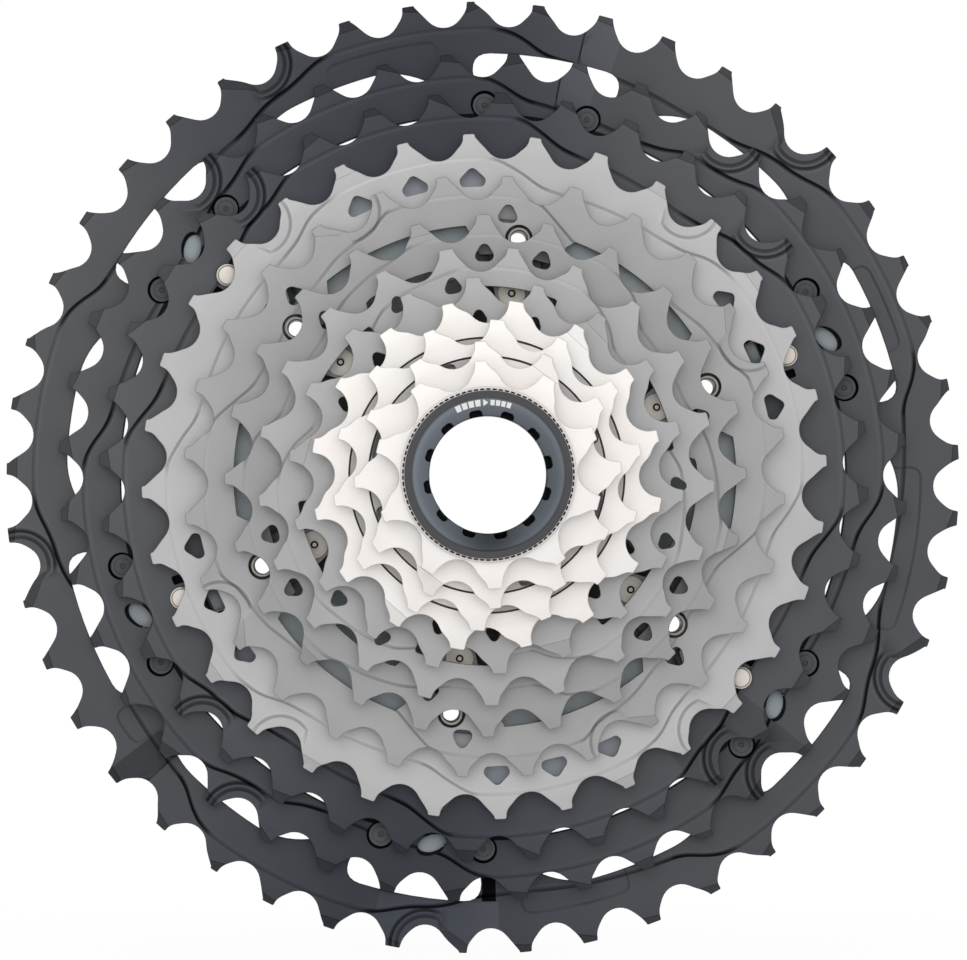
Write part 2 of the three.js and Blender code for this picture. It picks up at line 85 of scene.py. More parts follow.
# Spider arms, and the circles that the rivets sit on.
ARM_ANGLES = [21.9 + 60 * i for i in range(6)]
ARM_HALF = 4.85
ARM_FOOT = 49.2
PAD_INNER, PAD_OUTER, PAD_HALF = 67.2, 75.4, 11.5
CARRIER_RIVETS = 35.0
TUBE_RIVETS = 45.7
RIVETS_32 = 51.7
RIVETS_36 = 62.5
RIVETS_40 = 71.5
DARK_RIVETS = [a + side for a in ARM_ANGLES for side in (-8, 8)]

BODY_OF = {
    node: body
    for body, nodes in frame["record"]["behaviour"]["bodies"].items()
    for node in nodes
}

# Shifts over which a winding edge is averaged to round off its corners, in degrees.
CORNER_EASE = np.linspace(-1.5, 1.5, 9)


# ------------------------------------------------------------------ plan geometry
def polar(radius, degrees):
    angle = np.radians(degrees)
    return np.stack(np.broadcast_arrays(radius * np.cos(angle), radius * np.sin(angle)), -1)


def radius_of(points):
    return np.linalg.norm(points, axis=1)


def angle_of(points):
    return np.degrees(np.arctan2(points[:, 1], points[:, 0]))


def axes(degrees):
    """Directions away from the axis and counter-clockwise round it, at an angle."""
    return polar(1, degrees), polar(1, degrees + 90)


def arc(radius, start, stop, count):
    return polar(radius, np.linspace(start, stop, count))


def ring(radius, count=180):
    """Round line that ends where it starts."""
    return arc(radius, 0, 360, count + 1)


def circle(radius, degrees=0.0, place=0.0, count=48):
    return polar(place, degrees) + ring(radius, count)[:-1]


def circles(radius, place, angles, count=20):
    return [circle(radius, angle, place, count) for angle in angles]


def smooth(t):
    t = np.clip(t, 0, 1)
    return t * t * (3 - 2 * t)


def bezier(a, b, c, d, count):
    t = np.linspace(0, 1, count + 2)[1:-1, None]
    return a * (1 - t) ** 3 + 3 * b * t * (1 - t) ** 2 + 3 * c * t * t * (1 - t) + d * t**3


def rounded_corner(start, corner, stop, steps=4):
    t = np.linspace(0, 1, steps + 1)[:, None]
    return start * (1 - t) ** 2 + 2 * corner * t * (1 - t) + stop * t * t


def eased(points, angles, period):
    """Values along a repeating curve through (angle, value) pairs, with its corners rounded off."""
    keys, values = np.array(points, float).T
    shifted = [np.interp(angles + shift, keys, values, period=period) for shift in CORNER_EASE]
    return sum(shifted) / len(CORNER_EASE)


def closed_line(loop):
    return np.concatenate([loop, loop[:1]])


def offset_loop(loop, distance):
    """The closed loop moved to its left by distance."""
    along = np.roll(loop, -1, 0) - np.roll(loop, 1, 0)
    along /= radius_of(along)[:, None] + 1e-9
    return loop + distance * np.stack([-along[:, 1], along[:, 0]], -1)


def counter_clockwise(loop):
    after = np.roll(loop, -1, 0)
    area = (loop[:, 0] * after[:, 1] - after[:, 0] * loop[:, 1]).sum()
    return loop if area > 0 else loop[::-1]


def inside(points, loop):
    """Which points lie inside the closed loop."""
    found = ((points > loop.min(0)) & (points < loop.max(0))).all(1)
    x, y = points[found].T[:, :, None]
    (x0, y0), (x1, y1) = loop.T[:, None], np.roll(loop, -1, 0).T[:, None]
    crosses = ((y0 > y) != (y1 > y)) & (x < (x1 - x0) * (y - y0) / (y1 - y0 + 1e-12) + x0)
    found[found] = crosses.sum(1) % 2 == 1
    return found


def rounded_loop(corners, radius, steps=4):
    """Closed loop through straight sides with its corners rounded."""
    corners = np.asarray(corners, float)
    points = []
    for before, here, after in zip(np.roll(corners, 1, 0), corners, np.roll(corners, -1, 0)):
        size_in = np.linalg.norm(before - here)
        size_out = np.linalg.norm(after - here)
        cut = min(radius, 0.45 * size_in, 0.45 * size_out)
        start = here + (before - here) / size_in * cut
        stop = here + (after - here) / size_out * cut
        points.append(rounded_corner(start, here, stop, steps))
    return np.concatenate(points)


def slot_loop(start, stop, inner, outer, radius):
    """Closed loop of a curved slot: two arcs joined by rounded corners."""
    def corner(r, a, inward, turn):
        along = polar(r, a + turn * math.degrees(radius / r))
        return rounded_corner(along, polar(r, a), polar(r + inward * radius, a), 5)

    pull_in = math.degrees(radius / inner)
    pull_out = math.degrees(radius / outer)
    count = max(3, int((stop - start) / 2.5))
    return np.concatenate([
        arc(inner, start + pull_in, stop - pull_in, count),
        corner(inner, stop, 1, -1)[1:],
        corner(outer, stop, -1, -1)[:0:-1],
        arc(outer, stop - pull_out, start + pull_out, count),
        corner(outer, start, -1, 1)[1:],
        corner(inner, start, 1, 1)[:0:-1],
    ])


def bowed_slot(start, stop, inner, outer, ease, bend):
    """Window whose outer edge bows down towards both ends over the last ease degrees."""
    angles = np.arange(start, stop + 0.01, 1.0)
    past = np.maximum(0, np.maximum(start + ease - angles, angles - (stop - ease)))
    upper = np.maximum(inner + 0.3, outer - bend * past**2)
    return np.concatenate([polar(inner, angles[::3]), polar(upper, angles)[::-1]])


def splined_bore():
    pitch = 360 / SPLINES
    half = SPLINE_SHARE * pitch / 2
    points = []
    for middle in np.arange(SPLINES) * pitch:
        points += [polar(SPLINE_TIP, middle - half), polar(SPLINE_TIP, middle + half)]
        points += [polar(SPLINE_ROOT, middle + half * 1.25), polar(SPLINE_ROOT, middle + pitch - half * 1.25)]
    return np.array(points)


def egg_hole(degrees, place, size):
    """Small relief hole, like a triangle with large round corners, flat towards the axis."""
    turns = np.arange(0, 360, 15)
    reach = size * (1 + 0.13 * np.cos(np.radians(3 * turns)))
    return polar(place, degrees) + polar(reach, turns + degrees)


def house_hole(degrees, place, size):
    """Rounded three-cornered relief hole, flat towards the axis."""
    out, across = axes(degrees)
    corners = [(1.05, 0.0), (-0.2, 1.25), (-0.85, 1.05), (-0.85, -1.05), (-0.2, -1.25)]
    plan = [place * out + size * (a * out + b * across) for a, b in corners]
    return rounded_loop(plan, 0.55 * size)


def sight_hole(arm):
    """Oval hole through the pad of one arm."""
    long_way = 3.0 * polar(1, arm + 120)
    return polar(RIVETS_40, arm) + circle(1.0, count=32) @ np.array([1.9 * polar(1, arm + 30), long_way])


def tabbed_edge(radius, tabs, ease=1.6, step=1.5):
    """Inner edge at one radius that moves to another in each tab, given as (start, stop, tab radius)."""
    angles = np.arange(0, 360, step)
    r = np.full(len(angles), float(radius))
    for start, stop, tab_radius in tabs:
        away = np.abs((angles - (start + stop) / 2 + 180) % 360 - 180)
        r += (tab_radius - radius) * smooth(((stop - start) / 2 + ease / 2 - away) / ease)
    return polar(r, angles)


def arm_tabs(half, radius):
    return [(a - half, a + half, radius) for a in ARM_ANGLES]


# ------------------------------------------------------------------ teeth
# Tooth tip styles: shift towards counter-clockwise, tip width and extra height in mm, then how far the
# counter-clockwise and clockwise flanks spread from upright at the tip, in degrees.
TIP_STYLES = {
    "f": (0.00, 2.9, 0.0, 4, 22),
    "m": (0.15, 2.4, -0.1, 0, 36),
    "h": (0.40, 2.4, -0.3, -8, 32),
    "p": (0.80, 1.6, -0.2, 0, 50),
    "s": (0.00, 2.3, -0.2, 8, 42),
    "g": (0.00, 2.9, 0.15, 4, 4),
}


def extent(node):
    """Front height, back height and outer radius of a CAD part that is centred on the axis."""
    low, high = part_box(node)
    return -low.y / MM, -high.y / MM, (high.z - low.z) / 2 / MM


class Sprocket:
    def __init__(self, teeth, phase, lean, soft, styles):
        self.teeth = teeth
        self.phase = phase
        self.lean = lean
        self.soft = soft
        self.styles = styles
        self.node = f"sprocket_{teeth}t"
        self.front, self.back, self.tip = extent(self.node)
        self.pitch_angle = 360 / teeth
        self.pitch_radius = CHAIN_PITCH / 2 / math.sin(math.pi / teeth)
        self.root = self.pitch_radius - SEAT_RADIUS
        self.taper_from = self.root + TAPER_START

    def tooth_angle(self, index):
        return self.phase + index * self.pitch_angle

    def tip_style(self, index):
        return TIP_STYLES[self.styles[index % len(self.styles)]]

    def tip_corners(self, index):
        shift, width, rise = self.tip_style(index)[:3]
        radius = self.tip + rise
        middle = self.tooth_angle(index) + math.degrees((self.lean + shift) / radius)
        half = math.degrees(width / 2 / radius)
        return radius, middle - half, middle + half

    def thinning(self, points):
        """0 at the foot of the teeth, rising to 1 at their tips."""
        return np.clip((radius_of(points) - self.taper_from) / (self.tip - self.taper_from), 0, 1) ** 1.3

    def outline(self):
        points = []
        for index in range(self.teeth):
            radius, left, right = self.tip_corners(index)
            spread_left, spread_right = self.tip_style(index)[3:]
            valley_before = self.tooth_angle(index) - self.pitch_angle / 2
            valley_after = valley_before + self.pitch_angle
            nudge = math.degrees(0.8 * self.soft / radius)
            start, stop = polar(radius - self.soft, left), polar(radius - self.soft, right)
            points += [
                self.flank(valley_before, 1, start, spread_right),
                rounded_corner(start, polar(radius, left), polar(radius, left + nudge)),
                rounded_corner(polar(radius, right - nudge), polar(radius, right), stop),
                self.flank(valley_after, -1, stop, spread_left)[::-1],
                self.seat(valley_after, np.linspace(-SEAT_REACH, SEAT_REACH, SEAT_POINTS)[:, None]),
            ]
        return np.concatenate(points)

    def seat(self, valley, swing, side=1):
        """Points of a roller seat, by their swing in degrees from its lowest point."""
        out, across = axes(valley)
        swing = np.radians(swing)
        from_centre = side * np.sin(swing) * across - np.cos(swing) * out
        return polar(self.pitch_radius, valley) + SEAT_RADIUS * from_centre

    def flank(self, valley, side, tip_corner, spread):
        """Flank from the end of a roller seat up to a tip corner, where it leans out by spread degrees."""
        out, across = axes(valley)
        swing, lean = math.radians(SEAT_REACH), math.radians(spread)
        start = self.seat(valley, SEAT_REACH, side)
        rising = math.sin(swing) * out + math.cos(swing) * across * side
        reach = np.linalg.norm(tip_corner - start)
        upright = tip_corner / np.linalg.norm(tip_corner)
        sideways = np.array([-upright[1], upright[0]]) * side
        handle = tip_corner - (math.cos(lean) * upright + math.sin(lean) * sideways) * 0.4 * reach
        return bezier(start, start + rising * 0.36 * reach, handle, tip_corner, FLANK_POINTS)


# ------------------------------------------------------------------ relief of the plates
class Relief:
    """How far a plate's front face drops below its highest plane, its tones, and the lines that shape it.

    Drops and tones are rules for points of the plan; the tones are painted light and shade. Flats are painted
    tones for the middles of whole faces.
    """

    def __init__(self, sprocket, wall=0.5, facet_tone=0.92, contrast=0.5, band=0.11, taper=0.35):
        s = self.sprocket = sprocket
        self.wall = wall
        self.facet_tone = facet_tone
        self.contrast = contrast
        # Distances past an edge line at which the painted light and shade across a step changes.
        self.places = (-0.35, 0.0, 0.4 * wall, wall - band, wall + 0.75 * band, wall + 0.75 * band + 0.16)
        self.drops = [lambda points: taper * s.thinning(points)]
        self.tones = []
        self.flats = []
        halfway = (s.taper_from + s.tip) / 2
        self.lines = [ring(radius, 4 * s.teeth) for radius in (s.taper_from, halfway)]

    def add(self, lines, drop=None, tone=None, flat=None):
        self.lines += lines
        for rules, rule in ((self.drops, drop), (self.tones, tone), (self.flats, flat)):
            if rule:
                rules.append(rule)
        return self

    def drop_at(self, points):
        return sum(rule(points) for rule in self.drops)

    def tone_at(self, points):
        return math.prod((rule(points) for rule in self.tones), start=np.ones(len(points)))

    def flat_tone_at(self, middles):
        return math.prod((rule(middles) for rule in self.flats), start=np.ones(len(middles)))

    def step(self, past):
        """0 before a step in the face and 1 after its wall."""
        return np.clip(past / self.wall, 0, 1)

    def step_tone(self, past, strength, dark=1.0, deep=0.1):
        """Painted light and shade across a step: a painted highlight on the lip, the wall, then a painted
        shadow line (or a painted highlight on the wall where dark is 0).
        """
        shadow = np.interp(past, self.places, [1, 1.25, 0.7 + 0.1 * deep, deep, deep, 1])
        glow = np.interp(past, self.places, [0.95, 1.2, 1.25, 0.7, 0.5, 1])
        mixed = shadow * dark + (1 + self.contrast * (glow - 1)) * (1 - dark)
        return 1 + self.contrast * strength * (mixed - 1)

    def terrace(self, edge, depths, period):
        """The face drops outside a line that winds round the plate: both tables hold (angle, value) pairs."""

        def past_edge(points):
            angles = angle_of(points)
            return radius_of(points) - eased(edge, angles, period), angles

        def drop(points):
            past, angles = past_edge(points)
            return eased(depths, angles, period) * self.step(past)

        # Painted shadow line where the step winds in or out, painted highlight on its wall where it runs
        # round.
        def tone(points):
            past, angles = past_edge(points)
            steep = np.abs(eased(edge, angles + 0.5, period) - eased(edge, angles - 0.5, period))
            strength = np.clip(eased(depths, angles, period) / 0.6, 0.6, 1)
            return self.step_tone(past, strength, np.clip((steep - 0.05) / 0.15, 0, 1))

        angles = np.linspace(0, 360, 541)
        line = eased(edge, angles, period)
        return self.add([polar(line + place, angles) for place in self.places], drop, tone)

    def scoop(self, tooth, radius, depth, width=1.2):
        """Round relief about the valley after a gate tooth, with a second step round it if it has a width."""
        valley = self.sprocket.tooth_angle(tooth) + self.sprocket.pitch_angle / 2
        centre = polar(self.sprocket.pitch_radius, valley)
        out, across = axes(valley)

        def steps(points):
            local = points - centre
            past = radius - radius_of(local)
            return past, past + width, 1 - smooth((local @ across - 0.5) / 3.5), past > -width - 1

        def drop(points):
            inner, outer, fade, near = steps(points)
            return np.where(near, fade * depth * (0.55 * self.step(inner) + 0.45 * self.step(outer)), 0)

        # Painted highlights and shadow lines along both steps, fading away across the valley.
        def tone(points):
            inner, outer, fade, near = steps(points)
            second = self.step_tone(outer, 0.9 * fade * (width > 0), deep=0.2)
            return np.where(near, self.step_tone(inner, 0.8 * fade, deep=0.3) * second, 1)

        swing = np.radians(np.linspace(-150, 20, 40))[:, None]
        around = -np.cos(swing) * out + np.sin(swing) * across
        lines = [centre + (radius + extra - place) * around for extra in (0, width) for place in self.places]
        return self.add(lines, drop, tone)

    def scoops(self, first, step, count, radius=6.3, depth=0.5, width=1.2):
        for turn in range(count):
            self.scoop(first + step * turn, radius, depth, width)
        return self

    def facets(self, lengths, slants, depth=0.4):
        """Chamfers across the ends of all teeth, in a repeating pattern of lengths and slants."""
        for tooth in range(self.sprocket.teeth):
            self.facet(tooth, depth, lengths[tooth % len(lengths)], slants[tooth % len(slants)])
        return self

    def facet(self, tooth, depth, length=2.3, slant=0.0, lip=0.13):
        """Chamfer across the end of one tooth, painted darker as shade, with a darker painted shadow line
        along its foot.
        """
        radius, left, right = self.sprocket.tip_corners(tooth)
        middle = (left + right) / 2
        out, across = axes(middle)
        base = polar(radius - length, middle)
        cos, sin = math.cos(math.radians(slant)), math.sin(math.radians(slant))
        normal, along = cos * out - sin * across, sin * out + cos * across

        def rise(points):
            """How far points near this tooth lie past the foot of the chamfer."""
            local = points - base
            return np.where((np.abs(local @ across) < 4.5) & (np.abs(local @ out) < 5), local @ normal, 0)

        def flat(middles):
            past = rise(middles)
            return np.where(past > 0.01, np.where(past < lip, self.facet_tone - 0.3, self.facet_tone), 1.0)

        def drop(points):
            return depth * np.clip(rise(points) / length, 0, 1.5)

        foot = base + np.linspace(-3.6, 3.6, 7)[:, None] * along
        return self.add([foot, foot + lip * normal], drop, flat=flat)

    def groove(self, radius, width=0.4, depth=0.95, side=0.06):
        """Narrow round groove just inside a radius, painted dark inside as shade."""

        def drop(points):
            past = radius - radius_of(points)
            return depth * np.clip(past / side, 0, 1) * np.clip((width - past) / side, 0, 1)

        def flat(middles):
            past = radius - radius_of(middles)
            return np.where((past > 0.5 * side) & (past < width), 0.25, 1.0)

        lines = [ring(radius - past, 144) for past in (0, side, width - side, width)]
        return self.add(lines, drop, flat=flat)

    def recess(self, radius, depth=0.3):
        """Sunk centre inside a circle."""
        lines = [ring(radius - past, 144) for past in (0, self.wall)]
        return self.add(lines, lambda points: depth * self.step(radius - radius_of(points)))

    def pocket(self, loop, depth, edge_tone):
        """Shallow pocket inside a closed loop, whose sloping edge is painted with edge_tone: a painted
        highlight above 1, painted shade below.
        """
        loop = counter_clockwise(loop)
        middle, floor = (offset_loop(loop, share * self.wall) for share in (0.3, 0.6))

        def flat(middles):
            return np.where(inside(middles, loop) & ~inside(middles, floor), edge_tone, 1.0)

        lines = [closed_line(loop), closed_line(floor)]
        return self.add(lines, lambda points: depth * inside(points, middle), flat=flat)

    def pockets(self, inner, outer, sectors, edge_tone, corner=2.6, depth=0.22):
        for start, stop in sectors:
            self.pocket(slot_loop(start, stop, inner, outer, corner), depth, edge_tone)
        return self

    def tint(self, start, stop, inner, outer, factor):
        """Part of the face, between two angles and two radii, painted lighter or darker by a factor."""

        def flat(middles):
            r = radius_of(middles)
            on = ((angle_of(middles) - start) % 360 < stop - start) & (r > inner) & (r < outer)
            return np.where(on, factor, 1.0)

        lines = [arc(r, start, stop, max(4, int(stop - start))) for r in (inner, outer)]
        if stop - start < 360:
            lines += [polar(np.array([inner, outer]), angle) for angle in (start, stop)]
        return self.add(lines, flat=flat)

    def tilt(self, start, stop, inner, depth, shade_by, step=0.25):
        """Flat that slants across a sector of the rim, painted lighter or darker by shade_by as light falls
        on the slant, ending in a small step painted dark as shade.
        """
        width = stop - start

        def drop(points):
            past = (angle_of(points) - start) % 360
            return np.where((past < width) & (radius_of(points) > inner), depth * past / width, 0)

        def flat(middles):
            past = (angle_of(middles) - start) % 360
            tones = np.where(past < width, shade_by, np.where(past < width + step, 0.5, 1.0))
            return np.where(radius_of(middles) > inner, tones, 1.0)

        edge = np.linspace(inner, self.sprocket.tip, 8)
        return self.add([polar(edge, angle) for angle in (start, stop, stop + step)], drop, flat=flat)


# ------------------------------------------------------------------ meshes
def edge_distance(points, loops):
    """Distance of each point to the two loop segments that meet at its nearest loop point."""
    every = np.concatenate(loops)
    tree = KDTree(len(every))
    for i, p in enumerate(every):
        tree.insert((p[0], p[1], 0), i)
    tree.balance()
    nearest = np.array([tree.find((p[0], p[1], 0))[1] for p in points])
    here = every[nearest]
    best = np.full(len(points), np.inf)
    for turn in (1, -1):
        along = np.concatenate([np.roll(loop, turn, 0) for loop in loops])[nearest] - here
        t = np.clip(((points - here) * along).sum(1) / ((along * along).sum(1) + 1e-12), 0, 1)
        best = np.minimum(best, radius_of(points - here - t[:, None] * along))
    return best


def triangulate(outline, holes, lines, bevel):
    """Triangles of the plan that follow every loop and crease line."""
    loops = [outline] + holes
    for share in (0.3, 1.0):
        loops.append(offset_loop(outline, share * bevel))
        loops += [offset_loop(hole, -share * bevel) for hole in holes]
    verts, edges = [], []
    for path in [closed_line(loop) for loop in loops] + lines:
        first = len(verts)
        verts.extend(Vector((float(p[0]), float(p[1]))) for p in path)
        edges.extend((i, i + 1) for i in range(first, len(verts) - 1))
    made = delaunay_2d_cdt(verts, edges, [], 0, 1e-4)
    points = np.array([(v.x, v.y) for v in made[0]])
    faces = np.array([f for f in made[2] if len(f) == 3])
    middle = points[faces].mean(1)
    keep = inside(middle, outline)
    for hole in holes:
        keep &= ~inside(middle, hole)
    faces = faces[keep]
    b, c = (points[faces[:, i]] - points[faces[:, 0]] for i in (1, 2))
    turn = b[:, 0] * c[:, 1] - b[:, 1] * c[:, 0]
    faces[turn < 0] = faces[turn < 0][:, ::-1]
    faces = faces[np.abs(turn) > 1e-9]
    used, renumbered = np.unique(faces, return_inverse=True)
    return points[used], renumbered.reshape(faces.shape)


def solid_from_plan(points, faces, top, bottom):
    """Closed solid with one plan for both faces: top and bottom are heights per plan point."""
    count = len(points)
    upper = np.column_stack([points[:, 0], -top, points[:, 1]])
    lower = np.column_stack([points[:, 0], -bottom, points[:, 1]])
    directed = np.concatenate([faces[:, [0, 1]], faces[:, [1, 2]], faces[:, [2, 0]]])
    known = {(int(a), int(b)) for a, b in directed}
    rim = sorted((a, b) for a, b in known if (b, a) not in known)
    polygons = [tuple(map(int, f)) for f in faces]
    polygons += [tuple(int(i) + count for i in f[::-1]) for f in faces]
    return np.concatenate([upper, lower]) * MM, polygons + [(b, a, a + count, b + count) for a, b in rim]


def read(items, field, kind, width=1):
    values = np.empty(len(items) * width, kind)
    items.foreach_get(field, values)
    return values


def mark_creases(mesh, angle=4):
    """Keep shallow creases crisp where both faces look towards the small-sprocket side."""
    edge_of = read(mesh.loops, "edge_index", np.int32)
    sizes = read(mesh.polygons, "loop_total", np.int32)
    normals = read(mesh.polygons, "normal", np.float32, 3).reshape(-1, 3)
    face_of = np.repeat(np.arange(len(sizes)), sizes)
    order = np.argsort(edge_of, kind="stable")
    same = edge_of[order][1:] == edge_of[order][:-1]
    first, second = normals[face_of[order][:-1][same]], normals[face_of[order][1:][same]]
    facing = (first[:, 1] < -0.6) & (second[:, 1] < -0.6)
    creased = facing & ((first * second).sum(1) < math.cos(math.radians(angle)))
    sharp = mesh.attributes.get("sharp_edge") or mesh.attributes.new("sharp_edge", "BOOLEAN", "EDGE")
    values = read(sharp.data, "value", bool)
    values[edge_of[order][1:][same][creased]] = True
    sharp.data.foreach_set("value", values)


def make_object(name, verts, polygons, material, sharp=38, tones=None):
    mesh = bpy.data.meshes.new(name)
    mesh.from_pydata([tuple(v) for v in verts], [], polygons)
    mesh.polygons.foreach_set("use_smooth", [True] * len(mesh.polygons))
    mesh.set_sharp_from_angle(angle=math.radians(sharp))
    mesh.materials.append(material)
    # The tone attribute holds painted light and shade for the finishes, 1 where none is painted.
    tones = np.ones(len(mesh.loops)) if tones is None else np.array(tones)
    tone = mesh.attributes.new("tone", "FLOAT_COLOR", "CORNER")
    tone.data.foreach_set("color", np.column_stack([tones, tones, tones, np.ones(len(tones))]).ravel())
    mesh.update()
    piece = bpy.data.objects.new(name, mesh)
    bpy.context.scene.collection.objects.link(piece)
    weighted = piece.modifiers.new("even_shading", "WEIGHTED_NORMAL")
    weighted.keep_sharp = True
    weighted.weight = 60
    return piece


def stand_for(piece, node):
    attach(piece, BODY_OF[node])
    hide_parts(node)


def plain(points):
    return np.ones(len(points))


def heights_solid(name, outline, holes, lines, top_at, bottom_at, material, bevel=EDGE_BEVEL,
                  tone_at=plain, flat_tone_at=plain, edge_tone=1.0, wall_tone=0.5):
    """Closed solid between two height rules; tone rules paint light and shade on the face towards the viewer,
    and edge_tone and wall_tone paint shade on its bevelled edge and its sides.
    """
    holes = [counter_clockwise(hole) for hole in holes]
    points, faces = triangulate(outline, holes, lines, bevel)
    away = edge_distance(points, [outline] + holes)
    fall = bevel * (1 - np.sqrt(1 - np.clip(1 - away / bevel, 0, 1) ** 2))
    verts, polygons = solid_from_plan(points, faces, top_at(points) - fall, bottom_at(points) + fall)
    tone = tone_at(points) * np.interp(away, [0, bevel], [edge_tone, 1])
    corner_tones = tone[faces] * flat_tone_at(points[faces].mean(1))[:, None]
    sides = len(polygons) - 2 * len(faces)
    tones = np.concatenate([corner_tones.ravel(), np.ones(3 * len(faces)), np.full(4 * sides, wall_tone)])
    piece = make_object(name, verts, polygons, material, tones=tones)
    mark_creases(piece.data)
    return piece


def plate(sprocket, holes, relief, material):
    front, back = sprocket.front, sprocket.back

    def top_at(points):
        return front - np.minimum(relief.drop_at(points), 0.62 * (front - back))

    def bottom_at(points):
        return back + BACK_TAPER * sprocket.thinning(points)

    # Painted shade along the plate's bevelled edge (0.7) and darker painted shade on its sides (0.35).
    piece = heights_solid(
        sprocket.node + "_plate", sprocket.outline(), holes, relief.lines, top_at, bottom_at, material,
        EDGE_BEVEL, relief.tone_at, relief.flat_tone_at, 0.7, 0.35,
    )
    stand_for(piece, sprocket.node)


def lathe(name, profile, material, place=(0.0, 0.0), segments=96, closed=True, dark=(0, 0), sharp=38):
    """Solid of revolution from (radius, height) pairs that run counter-clockwise round the section.

    A radius may hold one value for each segment. The surface between the two dark radii is painted nearly
    black as shade.
    """
    verts, rows, radii = [], [], []
    for radius, height in profile:
        radii.append(np.mean(radius))
        count = segments if radii[-1] > 0 else 1
        rows.append([len(verts) + j % count for j in range(segments)])
        plan = polar(radius, np.arange(segments) * 360 / segments)[:count] + place
        verts += [(x, -height, y) for x, y in plan]
    polygons, tones = [], []
    for i in range(len(rows) - 1 if not closed else len(rows)):
        here, after = rows[i], rows[(i + 1) % len(rows)]
        tone = 0.05 if dark[0] < (radii[i] + radii[(i + 1) % len(rows)]) / 2 < dark[1] else 1.0
        for j in range(segments):
            k = (j + 1) % segments
            corners = tuple(dict.fromkeys([here[j], here[k], after[k], after[j]]))
            if len(corners) > 2:
                polygons.append(corners)
                tones += [tone] * len(corners)
    return make_object(name, np.array(verts) * MM, polygons, material, sharp, tones)


# ------------------------------------------------------------------ materials
class Nodes:
    """Short-hand for building a node tree."""

    def __init__(self, owner):
        owner.use_nodes = True
        self.tree = owner.node_tree
        self.tree.nodes.clear()

    def add(self, kind, sockets=None, **settings):
        """New node: each socket, by name or number, gets a value or a link from a (node, output) pair."""
        node = self.tree.nodes.new("ShaderNode" + kind)
        for key, value in settings.items():
            setattr(node, key, value)
        for key, value in (sockets or {}).items():
            if isinstance(value, tuple) and isinstance(value[0], bpy.types.Node):
                self.tree.links.new(value[0].outputs[value[1]], node.inputs[key])
            else:
                node.inputs[key].default_value = value
        return node

    def place(self):
        return self.add("TexCoord"), "Object"

    def noise(self, place, **sockets):
        return self.add("TexNoise", {"Vector": place, **sockets}), "Fac"

    def math(self, operation, *operands):
        return self.add("Math", dict(enumerate(operands)), operation=operation), "Value"

    def vector_math(self, operation, output, *operands):
        return self.add("VectorMath", dict(enumerate(operands)), operation=operation), output

    def ramp(self, factor, stops):
        node = self.add("ValToRGB", {"Fac": factor})
        elements = node.color_ramp.elements
        while len(elements) < len(stops):
            elements.new(0.5)
        for element, (position, color) in zip(elements, stops):
            element.position = position
            element.color = (*color, 1)
        return node, "Color"

    def spread(self, value, low, high, start=0.0, stop=1.0, **settings):
        """A value between start and stop, spread from low to high."""
        sockets = {"Value": value, "From Min": start, "From Max": stop, "To Min": low, "To Max": high}
        return self.add("MapRange", sockets, **settings), "Result"

    def multiplied(self, first, second, amount=1.0):
        """Colour of first darkened by second."""
        return self.add("Mix", {0: amount, 6: first, 7: second}, data_type="RGBA", blend_type="MULTIPLY"), 2

    def by_angle(self, place, stops):
        """Colour that changes with the angle round the spin axis."""
        parts = self.add("SeparateXYZ", {"Vector": place})
        angle = self.math("ARCTAN2", (parts, "Z"), (parts, "X"))
        turn = self.math("MULTIPLY_ADD", angle, 1 / (2 * math.pi), 0.5)
        return self.ramp(turn, [((degrees + 180) / 360, color) for degrees, color in stops])

    def by_radius(self, place, stops, reach):
        """Colour that changes with the distance from the spin axis, up to reach millimetres."""
        flat = self.vector_math("MULTIPLY", "Vector", place, (1, 0, 1))
        share = self.math("MULTIPLY", self.vector_math("LENGTH", "Value", flat), 1 / (reach * MM))
        return self.ramp(share, [(radius / reach, color) for radius, color in stops])


def grey(level):
    return level, level, level


def shade(color, factor):
    return tuple(min(1.0, c * factor) for c in color)


